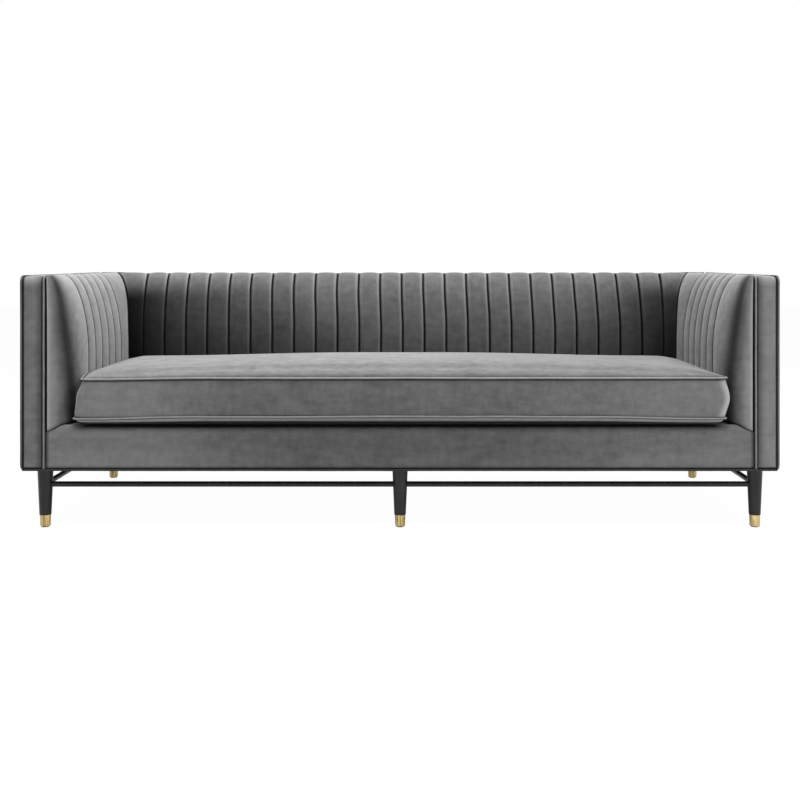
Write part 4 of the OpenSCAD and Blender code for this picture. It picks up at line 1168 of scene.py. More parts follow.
def makeOuterCovers():
    y0, y1 = sofa["weltFrontY"] + weltClear, sofa["weltRearY"] - weltClear
    z0, z1 = sofa["weltLowZ"] + weltClear, sofa["weltTopZ"] - weltClear
    for side, name, node in (
        (-1, "leftOuterArm", "left_outer_arm_cover"),
        (1, "rightOuterArm", "right_outer_arm_cover"),
    ):
        def sideSpot(a, b, lift, side=side):
            a, b = roundedSpot(a, b, y1 - y0, z1 - z0, sofa["armRound"] - weltClear)
            return Vector((side * (sofa["sideX"] + lift), y0 + a, z0 + b))
        makeCover(name, y1 - y0, z1 - z0, sideSpot, (side, 0, 0), "velvet", node, 3.0 + side)
    x0 = -sofa["weltSideX"] + weltClear + seamGap

    def backSpot(a, b, lift):
        return Vector((x0 + a, sofa["rearY"] + lift, z0 + b))

    makeCover("outerBack", -2 * x0, z1 - z0, backSpot, (0, 1, 0), "velvet", "outer_back_cover", 7.0)


makeOuterCovers()
print("outer covers made")


# The top edge of the back sags a little between the arms
backTop = {"sag": 0.0032, "halfX": 1.03, "ease": 0.07, "railZ": 0.7299, "under": 0.0020}


def topSag(x):
    return backTop["sag"] * ease(backTop["halfX"] - abs(x), 0.0, backTop["ease"])


def makeTopStrip():
    x0 = -sofa["innerWeltX"] - weltClear + seamGap
    y0 = sofa["backWeltY"] + weltClear
    length = sofa["weltRearY"] - weltClear - seamGap - y0

    def spot(a, b, lift):
        z = sofa["topZ"] - 2 * seamGap + lift - topSag(x0 + a)
        return Vector((x0 + a, y0 + b, max(backTop["railZ"], z)))

    makeCover("backTopStrip", -2 * x0, length, spot, (0, 0, 1), "velvet", "back_top_strip", 11.0, backTop["under"])


makeTopStrip()


# Border strip of an arm: up the front, round the bend and back along the top
borderStrip = {
    "width": 0.0573,
    # Painted light over the bend and along each strip, painted shade by the inner welt
    "bendPale": 0.36,
    "bendSpot": (0.006, 0.017),  # how far beyond the start of the bend, and how wide
    "leftPale": 0.04,
    "rightPale": 0.16,
    "innerDark": 0.52,
    "innerSpan": (0.002, 0.028),
}


def makeBorderStrip(side):
    frontY, topZ = sofa["frontY"], sofa["topZ"]
    lowZ = sofa["weltLowZ"] + weltClear
    radius = sofa["armRound"]
    up = topZ - radius - lowZ
    bend = radius * math.radians(90)
    back = sofa["weltRearY"] - weltClear - seamGap - (frontY + radius)
    x0 = sofa["innerWeltX"] + weltClear

    def spot(a, b, lift):
        x = side * (x0 + a)
        if b <= up:
            return Vector((x, frontY - lift, lowZ + b))
        if b >= up + bend:
            return Vector((x, frontY + radius + b - up - bend, topZ + lift))
        angle = (b - up) / radius
        reach = radius + lift
        return Vector((x, frontY + radius - reach * math.cos(angle), topZ - radius + reach * math.sin(angle)))

    # Painted light: most just over the bend, with the right strip paler all along
    def rise(b):
        flat = borderStrip["rightPale"] if side > 0 else borderStrip["leftPale"]
        start, wide = borderStrip["bendSpot"]
        return max(flat, borderStrip["bendPale"] * math.exp(-((b - up - start) / wide) ** 2))

    # Painted shade beside the inner welt
    def extraShade(a):
        return borderStrip["innerDark"] * (1 - ease(a, *borderStrip["innerSpan"]))

    name, node = ("rightBorder", "right_border_strip") if side > 0 else ("leftBorder", "left_border_strip")
    makeCover(
        name, borderStrip["width"], up + bend + back, spot, (0, -1, 1), "velvet", node, 17.0 + side,
        rise=rise, extraShade=extraShade,
    )


makeBorderStrip(-1)
makeBorderStrip(1)
print("border strips made")


# Seat deck: dark cloth over a thin pad, sewn to the rail's velvet
deckPad = {"frontY": -0.3712, "rearY": 0.3018, "gapX": 0.0008, "drop": 0.0025}


def makeDeckPad():
    x0, y0 = -sofa["armPadX"] + deckPad["gapX"], deckPad["frontY"]

    def spot(a, b, lift):
        return Vector((x0 + a, y0 + b, sofa["deckZ"] - deckPad["drop"] + lift))

    makeCover("deckPad", -2 * x0, deckPad["rearY"] - y0, spot, (0, 0, 1), "deck_cloth", "deck_pad", 29.0, 0.0)


makeDeckPad()


# Welts: cord in a bias strip of the same velvet, never quite even
weltCord = {
    "radius": 0.0034,
    "wander": 0.00035,
    "uneven": 0.06,
    # Painted shade on the flanks, painted light over the whole welt, and the bottom front welt painted darker
    "flankDark": 0.96,
    "flankSpan": (0.15, 0.75),
    "bodyPale": 0.12,
    "cushionPale": 0.25,
    "bottomDim": 0.78,
    "backBend": 0.008,
    "backDrop": 0.0022,
    # Which face a welt of the body looks out of, by where it runs
    "topBand": 0.012,
    "bendY": 0.39,
    "bendZ": 0.69,
    "faceY": 0.4015,
    "sideZ": 0.45,
    "sideProud": 0.62,
}


def roundCorner(points, corner, start, end, steps=8):
    # Adds an arc from start to end round a corner centre
    centre = Vector(corner)
    first = Vector(start) - centre
    last = Vector(end) - centre
    for i in range(1, steps):
        angle = math.radians(90) * i / steps
        points.append(centre + first * math.cos(angle) + last * math.sin(angle))


def fillLine(points, start, end, step=0.012):
    start, end = Vector(start), Vector(end)
    count = max(1, round((end - start).length / step))
    for i in range(count + 1):
        points.append(start + (end - start) * (i / count))


def roundedLoop(u0, u1, v0, v1, radius, spot):
    # Straight runs and corner arcs round a rectangle. spot(u, v) puts a corner of it in space
    points = []
    runs = (
        ((u0 + radius, v0), (u1 - radius, v0), (u1 - radius, v0 + radius)),
        ((u1, v0 + radius), (u1, v1 - radius), (u1 - radius, v1 - radius)),
        ((u1 - radius, v1), (u0 + radius, v1), (u0 + radius, v1 - radius)),
        ((u0, v1 - radius), (u0, v0 + radius), (u0 + radius, v0 + radius)),
    )
    for i, (start, end, centre) in enumerate(runs):
        fillLine(points, spot(*start), spot(*end))
        roundCorner(points, spot(*centre), spot(*end), spot(*runs[(i + 1) % 4][0]))
    return points


def makeWelt(name, points, closed, body, seed, proud, *replaced, dim=0.0):
    # proud(point) is the way the welt's crest faces there
    deselectAll()
    bpy.ops.curve.primitive_nurbs_path_add()
    path = bpy.context.object
    path.name = name
    curve = path.data
    curve.splines.clear()
    spline = curve.splines.new("POLY")
    spline.points.add(len(points) - 1)
    shifts = [Vector(shift) for shift in ((seed, 0, 0), (0, seed, 5), (7, 0, seed))]
    for spot, co in zip(spline.points, points):
        wander = Vector([noise.noise(co * 9 + shift) for shift in shifts])
        spot.co = (*(co + wander * weltCord["wander"]), 1.0)
        spot.radius = 1 + weltCord["uneven"] * noise.noise(co * 40 + Vector((seed, seed, 0)))
    spline.use_cyclic_u = closed
    curve.dimensions = "3D"
    curve.bevel_depth = weltCord["radius"]
    curve.bevel_resolution = 2
    curve.use_fill_caps = True
    pickOnly(path)
    bpy.ops.object.convert(target="MESH")
    piece = bpy.context.object
    piece.name = name
    editWhole(piece)
    bpy.ops.mesh.remove_doubles(threshold=mergeGap)
    bpy.ops.mesh.normals_make_consistent(inside=False)
    smoothFaces(piece, 60)
    piece.data.update()

    # Painted shade on the flanks facing away from the crest, and over the whole of a dimmed welt
    def shadeOf(i, co):
        facing = piece.data.vertices[i].normal.dot(proud(co))
        flank = weltCord["flankDark"] * (1 - ease(facing, *weltCord["flankSpan"]))
        return 1 - (1 - flank) * (1 - dim)

    markCloth(piece, shadeOf)
    # Painted light over the whole welt
    highlight = weltCord["bodyPale"] if body == "sofa_body" else weltCord["cushionPale"]
    markCloth(piece, lambda i, co: highlight * (1 - dim), "paintedLight")
    return finishPiece(piece, body, "velvet_welt", *replaced)


def sideWeltPoints(side):
    x = side * sofa["weltSideX"]
    ends = (sofa["weltFrontY"], sofa["weltRearY"], sofa["weltLowZ"], sofa["weltTopZ"])
    return roundedLoop(*ends, sofa["armRound"], lambda y, z: (x, y, z))


def innerWeltPoints():
    x = sofa["innerWeltX"]
    y0, y1 = sofa["weltFrontY"], sofa["backWeltY"]
    z0, z1 = sofa["weltLowZ"] + weltClear, sofa["weltTopZ"]
    r, bend = sofa["armRound"], weltCord["backBend"]
    drop = weltCord["backDrop"]  # the run behind the back pad lies a little lower
    half = []
    fillLine(half, (x, y0, z0), (x, y0, z1 - r))
    roundCorner(half, (x, y0 + r, z1 - r), (x, y0, z1 - r), (x, y0 + r, z1))
    fillLine(half, (x, y0 + r, z1), (x, y1 - bend - 0.03, z1))
    fillLine(half, (x, y1 - bend - 0.02, z1 - drop / 2), (x, y1 - bend, z1 - drop))
    roundCorner(half, (x - bend, y1 - bend, z1 - drop), (x, y1 - bend, z1 - drop), (x - bend, y1, z1 - drop))
    points = [Vector((-p.x, p.y, p.z)) for p in half]
    fillLine(points, (-x + bend, y1, z1 - drop), (x - bend, y1, z1 - drop))
    return points + list(reversed(half))


def sideCrest(co):
    # The side welts catch the light on the front and the top, not on the outer side
    return Vector((0, co.y, co.z - weltCord["sideZ"])).normalized() * weltCord["sideProud"]


def bodyCrest(co):
    # Front, top or rear, whichever face the welt runs along
    if co.z > sofa["weltTopZ"] - weltCord["topBand"] and abs(co.y) < weltCord["bendY"]:
        return Vector((0, 0, 1))
    if co.z > weltCord["bendZ"] and abs(co.y) < weltCord["faceY"]:
        return Vector((0, -0.7 if co.y < 0 else 0.7, 0.7))
    return Vector((0, -1 if co.y < 0 else 1, 0))


def straightWeltPoints(y, z, sags=0.0):
    points = []
    reach = sofa["weltSideX"] - weltClear
    fillLine(points, (-reach, y, z), (reach, y, z))
    for point in points:
        point.z -= topSag(point.x) * sags
    return points


for side, name, node in ((-1, "leftSideWelt", "left_side_welt"), (1, "rightSideWelt", "right_side_welt")):
    makeWelt(name, sideWeltPoints(side), True, "sofa_body", 2.0 + side, sideCrest, node)
makeWelt("innerWelt", innerWeltPoints(), False, "sofa_body", 5.0, bodyCrest, "inner_welt")
frontPoints = straightWeltPoints(sofa["weltFrontY"], sofa["weltLowZ"])
makeWelt(
    "frontBottomWelt", frontPoints, False, "sofa_body", 8.0, bodyCrest, "front_bottom_welt",
    dim=weltCord["bottomDim"],
)
for name, z, sags in (("rearBottomWelt", sofa["weltLowZ"], 0.0), ("rearTopWelt", sofa["weltTopZ"], 1.0)):
    rearPoints = straightWeltPoints(sofa["weltRearY"], z, sags)
    makeWelt(name, rearPoints, False, "sofa_body", 9.0 + z, bodyCrest)
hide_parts("back_edge_welts")
print("welts made")


# Seat cushion: the foam's form swells under its cover, held by the two welted seams
cushion = {
    "halfX": 0.9474,
    "frontY": -0.406,
    "rearY": 0.203,
    "corner": 0.025,
    "lowWelt": 0.321,
    "topWelt": 0.438,
    "voxel": 0.0125,
    "pressure": 4.0,
    "limit": 0.006,
    "proud": 0.0008,
    "behind": 0.0062,  # how far the boxing lies in under the welts
    "behindSpan": 0.0075,
    "sideBand": 0.03,
    "sewnBand": 0.0005,
    "flatZ": 0.302,
    "lowZ": 0.3003,
    "fill": 0.8,
    "coreFill": 0.95,
    "leanLeft": ((0.0, 0.006), (0.5, 0.001), (1.0, -0.017)),
    "leanRight": ((0.0, 0.005), (0.5, 0.0195), (1.0, 0.007)),
    "leanX": (0.78, 0.93),
    "leanFrontY": (0.27, 0.325, 0.396),  # begins at the left, at the right, ends
    "gatherX": -0.885,
    "gatherWide": 0.05,
    "gatherLeast": 0.18,
    "gatherSpan": (0.004, 0.030),
    "crownFull": 0.83,
    "crownFall": 0.28,
    "fallX": (0.15, 0.85),
    "frontSpan": (0.20, 0.38),
    "leftDrop": 0.0040,
    "leftX": (0.55, 0.90),
    "leftZ": (0.33, 0.43),
    "lowLift": 0.0052,
    "liftX": (0.55, 0.85),
    "liftZ": 0.03,
    "coreVoxel": 0.014,
    # Painted shade and painted light on the top, the boxing and its seams
    "topDark": (0.29, 0.13),
    "topDarkX": (-0.1, 0.75),
    "topFrom": (0.001, 0.004),  # above the top seam, and in from the outline
    "edgeDark": 0.25,
    "edgeSpan": (0.006, 0.016),
    "seamDark": 0.95,
    "seamSpan": (0.0028, 0.0065),
    "footZ": (0.3070, 0.3120),
    "middleDark": 0.10,
    "middleX": (0.3, 0.75),
    "footPale": 0.22,
    "footPaleZ": (0.316, 0.320),
    "endPaleX": (0.908, 0.940),
    "sidePale": (0.16, 0.10),
}
cushionMidY = (cushion["frontY"] + cushion["rearY"]) / 2
cushionSeams = (cushion["lowWelt"], cushion["topWelt"])


def cushionLean(co):
    # The front corners have worked loose: drawn in at the top left, pushed out lower down and at the right
    rows = cushion["leanLeft"] if co.x < 0 else cushion["leanRight"]
    share = (co.z - cushion["lowWelt"]) / (cushion["topWelt"] - cushion["lowWelt"])
    share = min(1.0, max(0.0, share)) * 2
    row = min(1, int(share))
    first, second = rows[row][1], rows[row + 1][1]
    left, right, full = cushion["leanFrontY"]
    weight = ease(abs(co.x), *cushion["leanX"]) * ease(-co.y, left if co.x < 0 else right, full)
    return (first + (second - first) * ease(share - row, 0.0, 1.0)) * weight * (1 if co.x > 0 else -1)


def cushionShift(co):
    # How use has settled the cushion: a lower crown, most near its ends, and seams that wave
    full = cushion["crownFull"] - cushion["crownFall"] * ease(abs(co.x), *cushion["fallX"])
    rise = -(1 - full) * max(0.0, co.z - cushion["topWelt"])
    front = ease(-co.y, *cushion["frontSpan"])
    rise -= cushion["leftDrop"] * ease(-co.x, *cushion["leftX"]) * ease(co.z, *cushion["leftZ"]) * front
    near = 1 - ease(abs(co.z - cushion["lowWelt"]), 0.0, cushion["liftZ"])
    rise += cushion["lowLift"] * (1 - ease(abs(co.x), *cushion["liftX"])) * near * front
    return Vector((cushionLean(co), 0.0, rise))


def copyOuter(node, name, voxel):
    # A closed copy of a soft solid's outer skin, in even faces
    pickOnly(nodes[node])
    bpy.ops.object.duplicate()
    shell = bpy.context.object
    shell.hide_render = False
    shell.parent = None
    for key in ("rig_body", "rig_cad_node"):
        if key in shell:
            del shell[key]
    editWhole(shell)
    bpy.ops.mesh.remove_doubles(threshold=mergeGap)
    bpy.ops.mesh.separate(type="LOOSE")
    bpy.ops.object.mode_set(mode="OBJECT")
    parts = [o for o in bpy.context.selected_objects if o.type == "MESH"]
    parts.sort(key=lambda o: max(v.co.x for v in o.data.vertices))
    outer = parts.pop()
    for inner in parts:
        bpy.data.objects.remove(inner)
    outer.name = name
    outer.data.name = name
    editWhole(outer)
    bpy.ops.mesh.normals_make_consistent(inside=False)
    useModifier(outer, "REMESH", mode="VOXEL", voxel_size=voxel)
    return outer


def makeCore():
    core = copyOuter("cushion_core", "foamCore", cushion["coreVoxel"])
    for vertex in core.data.vertices:
        vertex.co += cushionShift(vertex.co)
    return finishPad(core, "seat_cushion", "foam", 60, "cushion_core")


def makeCushion():
    outer = copyOuter("cushion_cover", "seatCushion", cushion["voxel"])
    for z in cushionSeams:
        editWhole(outer)
        bpy.ops.mesh.bisect(plane_co=(0, 0, z), plane_no=(0, 0, 1))
    deselectAll()
    return outer


def seamNear(co):
    return min(abs(co.z - z) for z in cushionSeams)


def cushionGaps(co):
    # Distances from the nearer side, and from the front or the rear, in plan
    return cushion["halfX"] - abs(co.x), min(co.y - cushion["frontY"], cushion["rearY"] - co.y)


def cushionInset(co):
    # Distance of a point from the cushion's rounded outline in plan
    dx, dy = cushionGaps(co)
    r = cushion["corner"]
    return r - math.hypot(r - dx, r - dy) if dx < r and dy < r else min(dx, dy)


def drawIn(co, push):
    # Moves a point of the boxing straight in from its nearest side, slantwise at a corner
    dx, dy = cushionGaps(co)
    r = cushion["corner"]
    if dx < r and dy < r:
        inward = Vector((-math.copysign(r - dx, co.x), math.copysign(r - dy, cushionMidY - co.y), 0)).normalized()
    elif dx < dy:
        inward = Vector((-math.copysign(1, co.x), 0, 0))
    else:
        inward = Vector((0, math.copysign(1, cushionMidY - co.y), 0))
    co.x += inward.x * push
    co.y += inward.y * push


def settleCushion(piece):
    # Only the boxing and the top are free to swell
    still = [seamNear(v.co) < cushion["sewnBand"] or v.co.z < cushion["flatZ"] for v in piece.data.vertices]
    pressUp(piece, lambda i: still[i], cushion["pressure"], cushion["limit"], inward=0.001)
    useModifier(piece, "SUBSURF", levels=1, render_levels=1)
    for vertex in piece.data.vertices:
        co = vertex.co
        co.z = max(co.z, cushion["lowZ"])
        inset = cushionInset(co)
        if inset > cushion["sideBand"]:
            continue
        tuck = 1 - ease(seamNear(co), 0.0, cushion["behindSpan"])
        want = cushion["proud"] + (cushion["behind"] - cushion["proud"]) * tuck
        if inset < want:  # tucks the cloth in under each welt and keeps the boxing behind them
            drawIn(co, want - inset)
    rest = [v.co.copy() for v in piece.data.vertices]
    for vertex in piece.data.vertices:
        vertex.co += cushionShift(vertex.co)

    def onTop(co):
        return co.z > cushion["topWelt"] + cushion["topFrom"][0]

    # Painted shade: over the top, more towards the right, and by its outline; on the boxing at its foot, across its
    # middle and in its seams
    def shadeOf(i, co):
        co = rest[i]
        if onTop(co) and cushionInset(co) > cushion["topFrom"][1]:
            keep = 1 - cushion["edgeDark"] * (1 - ease(cushionInset(co), *cushion["edgeSpan"]))
            dark, more = cushion["topDark"]
            return 1 - keep * (1 - dark - more * ease(co.x, *cushion["topDarkX"]))
        keep = ease(co.z, *cushion["footZ"]) * (1 - cushion["middleDark"] * (1 - ease(abs(co.x), *cushion["middleX"])))
        if co.z > cushion["lowWelt"]:
            keep *= 1 - cushion["seamDark"] * (1 - ease(seamNear(co), *cushion["seamSpan"]))
        return 1 - keep

    # Painted light on the boxing: at its foot, at the right end and towards both ends
    def rise(i, co):
        co = rest[i]
        if onTop(co):
            return 0.0
        low = cushion["footPale"] * (1 - ease(co.z, *cushion["footPaleZ"]))
        return max(low, ease(co.x, *cushion["endPaleX"]), sideLight(co.x, *cushion["sidePale"]))

    def gather(i, co):
        co = rest[i]
        if cushionInset(co) >= cushion["sideBand"]:
            return 0.0
        along = math.exp(-((co.x - cushion["gatherX"]) / cushion["gatherWide"]) ** 2) + cushion["gatherLeast"]
        return (1 - ease(seamNear(co), *cushion["gatherSpan"])) * along

    markCloth(piece, shadeOf)
    markCloth(piece, rise, "paintedLight")
    markCloth(piece, gather, "gathered")
    return finishPad(piece, "seat_cushion", "velvet", 80, "cushion_cover")


def cushionWeltPoints(z, wave, seed):
    r = sofa["weltR"]
    ends = (-cushion["halfX"] + r, cushion["halfX"] - r, cushion["frontY"] + r, cushion["rearY"] - r)
    points = roundedLoop(*ends, cushion["corner"] - r, lambda x, y: (x, y, z))
    for point in points:
        point += cushionShift(point)
        point.z += wave * noise.noise(Vector((point.x * 4 + seed, point.y * 4, seed)))
    return points


def cushionCrest(co):
    # Outward from the nearer side, and up
    x, y = co.x / cushion["halfX"], (co.y - cushionMidY) / (cushion["rearY"] - cushionMidY)
    if abs(x) > abs(y):
        return Vector((math.copysign(0.8, x), 0, 0.6))
    return Vector((0, math.copysign(0.8, y), 0.6))


makeCore()
settleCushion(makeCushion())
for name, z, wave, seed, node in (
    ("cushionTopWelt", cushion["topWelt"], 0.0012, 1.0, "cushion_top_welt"),
    ("cushionBottomWelt", cushion["lowWelt"], 0.0020, 4.0, "cushion_bottom_welt"),
):
    makeWelt(name, cushionWeltPoints(z, wave, seed), True, "seat_cushion", 20.0 + seed, cushionCrest, node)
print("seat cushion made")


# Zip on the rear boxing: woven tape, metal teeth, slider and tab
zipPart = {
    "tapeX": 0.7500,
    "tapeHalfZ": 0.0140,
    "faceY": 0.2000,
    "tapeT": 0.0009,
    "midZ": 0.3795,
    "chainX": 0.7400,
    "toothPitch": 0.0030,
    "tooth": (0.0017, 0.0015, 0.0034),
    "toothShift": 0.0011,
    "sliderX": 0.705,
    "sliderL": 0.009,
    "sliderW": 0.0094,
    "plateY": 0.2044,
    "plateT": 0.0010,
    "flangeY": 0.2013,
    "lug": (0.0018, 0.0013, 0.0005),  # half length, height over the pin, half thickness
    "lugZ": 0.0034,
    "pinR": 0.0008,
    "tabAxisY": 0.2062,
    "tabL": 0.016,
    "tabW": 0.0048,
    "tabT": 0.0011,
    "leafX": 0.0012,
    "holeR": 0.0012,
    "holeX": 0.0120,
    "barrelR": 0.0014,
    "eyes": ((-0.0009, -0.0024), (0.0009, 0.0024), (-0.0012, 0.0012)),
    "round": 0.0003,
    "roundWide": 0.0004,
}


def makeBlock(name, low, high, bevel, segments=1):
    deselectAll()
    centre = [(a + b) / 2 for a, b in zip(low, high)]
    bpy.ops.mesh.primitive_cube_add(size=1, location=centre)
    block = bpy.context.object
    block.name = name
    block.scale = [b - a for a, b in zip(low, high)]
    bpy.ops.object.transform_apply(location=True, rotation=True, scale=True)
    useModifier(block, "BEVEL", width=bevel, segments=segments)
    return block


def makeRod(name, radius, start, end, sides=20):
    deselectAll()
    start, end = Vector(start), Vector(end)
    bpy.ops.mesh.primitive_cylinder_add(
        vertices=sides, radius=radius, depth=(end - start).length, location=(start + end) / 2,
        rotation=(end - start).to_track_quat("Z", "Y").to_euler(),
    )
    rod = bpy.context.object
    rod.name = name
    bpy.ops.object.transform_apply(location=True, rotation=True, scale=True)
    deselectAll()
    return rod


def joinAll(name, pieces):
    deselectAll()
    for piece in pieces:
        piece.select_set(True)
    bpy.context.view_layer.objects.active = pieces[0]
    bpy.ops.object.join()
    pieces[0].name = name
    pieces[0].data.name = name
    deselectAll()
    return pieces[0]


def makeZipTape():
    x, y, z = zipPart["tapeX"], zipPart["faceY"], zipPart["midZ"]
    half, thick, edge = zipPart["tapeHalfZ"], zipPart["tapeT"], zipPart["round"]
    tape = makeBlock("zipTape", (-x, y, z - half), (x, y + thick, z + half), edge)
    smoothFaces(tape, 40)
    finishPiece(tape, "seat_cushion", "black_cloth", "zip_tape")
    w, t, h = zipPart["tooth"]
    y0 = y + thick + 0.0001
    teeth = []
    for offset, side in ((0.0, 1), (zipPart["toothPitch"] / 2, -1)):
        x = -zipPart["chainX"] + offset
        toothZ = z + side * zipPart["toothShift"]
        tooth = makeBlock("zipTooth", (x, y0, toothZ - h / 2), (x + w * 0.75, y0 + t, toothZ + h / 2), edge)
        useModifier(
            tooth, "ARRAY", count=int(2 * zipPart["chainX"] / zipPart["toothPitch"]),
            use_relative_offset=False, use_constant_offset=True,
            constant_offset_displace=(zipPart["toothPitch"], 0, 0),
        )
        teeth.append(tooth)
    chain = joinAll("zipTeeth", teeth)
    smoothFaces(chain, 40)
    finishPiece(chain, "seat_cushion", "zip_brass")


def makeZipSlider():
    x, y, z = zipPart["sliderX"], zipPart["tabAxisY"], zipPart["midZ"]
    long, half, edge = zipPart["sliderL"] / 2, zipPart["sliderW"] / 2, zipPart["round"]
    top, thick = zipPart["plateY"], zipPart["plateT"]
    lugLong, lugRise, lugHalf = zipPart["lug"]
    low, high = (x - long, top - thick, z - half), (x + long, top, z + half)
    parts = [makeBlock("zipPlate", low, high, zipPart["roundWide"], 2)]
    for side in (-1, 1):  # flanges down over the chain, lugs for the pin
        z0, z1 = sorted((z + side * half, z + side * (half - thick)))
        low, high = (x - long, zipPart["flangeY"], z0), (x + long, top - 0.0002, z1)
        parts.append(makeBlock("zipFlange", low, high, edge, 2))
        lug = z + side * zipPart["lugZ"]
        low, high = (x - lugLong, top - 0.0004, lug - lugHalf), (x + lugLong, y + lugRise, lug + lugHalf)
        parts.append(makeBlock("zipLug", low, high, edge, 2))
    parts.append(makeRod("zipPin", zipPart["pinR"], (x, y, z - zipPart["lugZ"]), (x, y, z + zipPart["lugZ"]), 16))
    slider = joinAll("zipSlider", parts)
    smoothFaces(slider, 40)
    finishPiece(slider, "slider", "zip_brass", "zip_slider")


def makeZipTab():
    x, y, z = zipPart["sliderX"], zipPart["tabAxisY"], zipPart["midZ"]
    half, t = zipPart["tabW"] / 2, zipPart["tabT"] / 2
    low, high = (x + zipPart["leafX"], y - t, z - half), (x + zipPart["tabL"], y + t, z + half)
    leaf = makeBlock("zipLeaf", low, high, zipPart["roundWide"], 2)
    holeX = x + zipPart["holeX"]
    hole = makeRod("zipHole", zipPart["holeR"], (holeX, y - 0.01, z), (holeX, y + 0.01, z), 24)
    useModifier(leaf, "BOOLEAN", operation="DIFFERENCE", solver="EXACT", object=hole)
    bpy.data.objects.remove(hole)
    parts = [leaf]
    for start, end in zipPart["eyes"]:
        parts.append(makeRod("zipEye", zipPart["barrelR"], (x, y, z + start), (x, y, z + end)))
    tab = joinAll("zipPullTab", parts)
    smoothFaces(tab, 40)
    finishPiece(tab, "pull_tab", "zip_brass", "zip_pull_tab")


makeZipTape()
makeZipSlider()
makeZipTab()
print("zip made")


# Dust cloth under the frame: one thin sheet with a folded hem, sagging a little between the rails
dustCloth = {
    "halfX": 1.0922,
    "halfY": 0.3982,
    "z": 0.1772,
    "thick": 0.0005,
    "sag": 0.0022,
    "hem": 0.014,
    "hemT": 0.0005,
    "hemGap": 0.0001,
    "step": 0.021,
    "rim": (0.035, 0.16),
    "feet": (0.05, 0.12),  # held this far round a leg, and free after so much more
}


def makeDustCloth():
    hx, hy = dustCloth["halfX"], dustCloth["halfY"]
    columns = round(2 * hx / dustCloth["step"]) + 1
    rows = round(2 * hy / dustCloth["step"]) + 1

    def point(column, row):
        x = hx * (2 * column / (columns - 1) - 1)
        y = hy * (2 * row / (rows - 1) - 1)
        rim = ease(min(hx - abs(x), hy - abs(y)), *dustCloth["rim"])
        leg = min(math.hypot(abs(x) - legX, abs(y) - sofa["legY"]) for legX in (0.0, sofa["legX"]))
        feet = min(1.0, max(0.0, (leg - dustCloth["feet"][0]) / dustCloth["feet"][1]))
        ripple = 0.7 + 0.5 * noise.noise(Vector((x * 3, y * 6, 4.0)))
        return Vector((x, y, dustCloth["z"] - dustCloth["sag"] * rim * feet * ripple))

    piece = shapedSheet("dustCloth", columns, rows, point)
    useModifier(piece, "SOLIDIFY", thickness=dustCloth["thick"], offset=0)
    smoothFaces(piece, 40)
    finishPiece(piece, "sofa_body", "black_cloth", "dust_cover")
    hem = makeHem()


def makeHem():
    hx, hy, w = dustCloth["halfX"], dustCloth["halfY"], dustCloth["hem"]
    high = dustCloth["z"] - dustCloth["thick"] / 2 - dustCloth["hemGap"]
    low = high - dustCloth["hemT"]
    strips = []
    for x0, y0, x1, y1 in (
        (-hx, -hy, hx, -hy + w),
        (-hx, hy - w, hx, hy),
        (-hx, -hy + w, -hx + w, hy - w),
        (hx - w, -hy + w, hx, hy - w),
    ):
        strips.append(makeBlock("hemSide", (x0, y0, low), (x1, y1, high), 0.0002))
    hem = joinAll("dustClothHem", strips)
    smoothFaces(hem, 40)
    return finishPiece(hem, "sofa_body", "black_cloth")


makeDustCloth()
print("dust cloth made")


# Room: a pale floor and backdrop, soft light from above and a little from the right
room = {
    "softboxes": (  # name, place, aim, size, power
        ("topSoftbox", (0.1, -0.4, 2.9), (0, 0, 0.3), (4.5, 2.6), 215.0),
        ("rightSoftbox", (2.5, -2.3, 0.9), (0.2, -0.1, 0.45), (0.9, 1.4), 30.0),
        ("leftSoftbox", (-2.5, -2.3, 0.9), (-0.2, -0.1, 0.45), (0.9, 1.4), 12.0),
        ("rearSoftbox", (0, 3.4, 1.1), (0, 0.3, 0.40), (3.2, 1.4), 40.0),
    ),
    "glossShare": 0.35,
    "ambient": 0.04,
    "floorWhite": 1.05,
    "floorShare": 0.93,
}


def seenRays(tree):
    # White for the camera and through glass, and part of it in gloss and metal
    rays = place(tree, "ShaderNodeLightPath", -300, 500)
    gloss = mathNode(tree, 0, 500, "MULTIPLY", rays.outputs["Is Glossy Ray"], room["glossShare"])
    clear = mathNode(tree, 0, 350, "MAXIMUM", rays.outputs["Is Camera Ray"], rays.outputs["Is Transmission Ray"])
    return mathNode(tree, 200, 450, "MAXIMUM", gloss, clear)


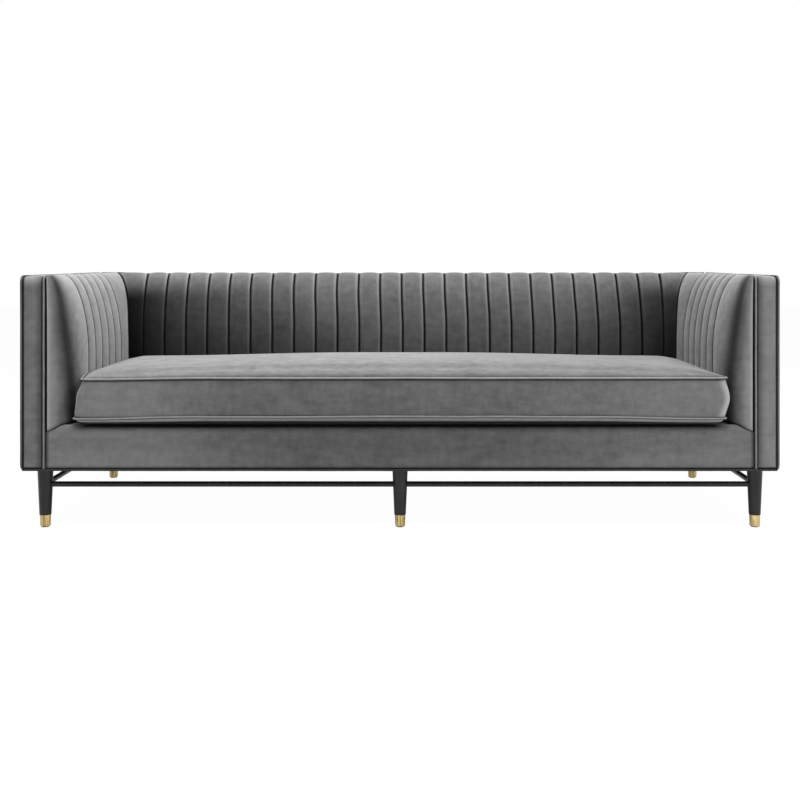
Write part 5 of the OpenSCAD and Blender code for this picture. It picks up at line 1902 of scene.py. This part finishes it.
def makeFloor():
    deselectAll()
    bpy.ops.mesh.primitive_plane_add(size=30, location=(0, 0, 0))
    floor = bpy.context.object
    floor.name = "studioFloor"
    material, tree, shader, coords = startMaterial("paleFloor")
    spread = noiseNode(tree, -500, 100, coords, 2.0)
    stops = [(0.3, (0.84, 0.84, 0.84)), (0.7, (0.87, 0.87, 0.87))]
    colour = rampNode(tree, -200, 100, spread, stops)
    dress(tree, shader, Base_Color=colour, Roughness=0.9, Specular_IOR_Level=0.1)
    white = place(tree, "ShaderNodeEmission", 600, -350)
    dress(tree, white, Color=(1, 1, 1), Strength=room["floorWhite"])
    seen = mathNode(tree, 500, 300, "MULTIPLY", seenRays(tree), room["floorShare"])
    mix = place(tree, "ShaderNodeMixShader", 800, 0)
    tree.links.new(seen, mix.inputs["Fac"])
    tree.links.new(shader.outputs["BSDF"], mix.inputs[1])
    tree.links.new(white.outputs["Emission"], mix.inputs[2])
    tree.links.new(mix.outputs["Shader"], tree.nodes["Material Output"].inputs["Surface"])
    floor.data.materials.append(material)
    deselectAll()


def makeWorld():
    world = bpy.data.worlds.new("studio")
    bpy.context.scene.world = world
    world.use_nodes = True
    tree = world.node_tree
    tree.nodes.clear()
    out = place(tree, "ShaderNodeOutputWorld", 600, 0)
    soft = place(tree, "ShaderNodeBackground", 200, 0)
    dress(tree, soft, Color=(1, 1, 1), Strength=room["ambient"])
    white = place(tree, "ShaderNodeBackground", 200, -200)
    dress(tree, white, Color=(1, 1, 1), Strength=1.0)
    mix = place(tree, "ShaderNodeMixShader", 400, 0)
    tree.links.new(seenRays(tree), mix.inputs["Fac"])
    tree.links.new(soft.outputs["Background"], mix.inputs[1])
    tree.links.new(white.outputs["Background"], mix.inputs[2])
    tree.links.new(mix.outputs["Shader"], out.inputs["Surface"])


def addSoftbox(name, spot, target, size, power):
    deselectAll()
    bpy.ops.object.light_add(type="AREA", location=spot)
    lamp = bpy.context.object
    lamp.name = name
    aim = Vector(target) - Vector(spot)
    lamp.rotation_euler = aim.to_track_quat("-Z", "Y").to_euler()
    lamp.data.shape = "RECTANGLE"
    lamp.data.size, lamp.data.size_y = size
    lamp.data.energy = power
    lamp.visible_camera = False
    deselectAll()


makeFloor()
makeWorld()
for softbox in room["softboxes"]:
    addSoftbox(*softbox)
bpy.context.scene.view_settings.view_transform = "Standard"
print("room made")
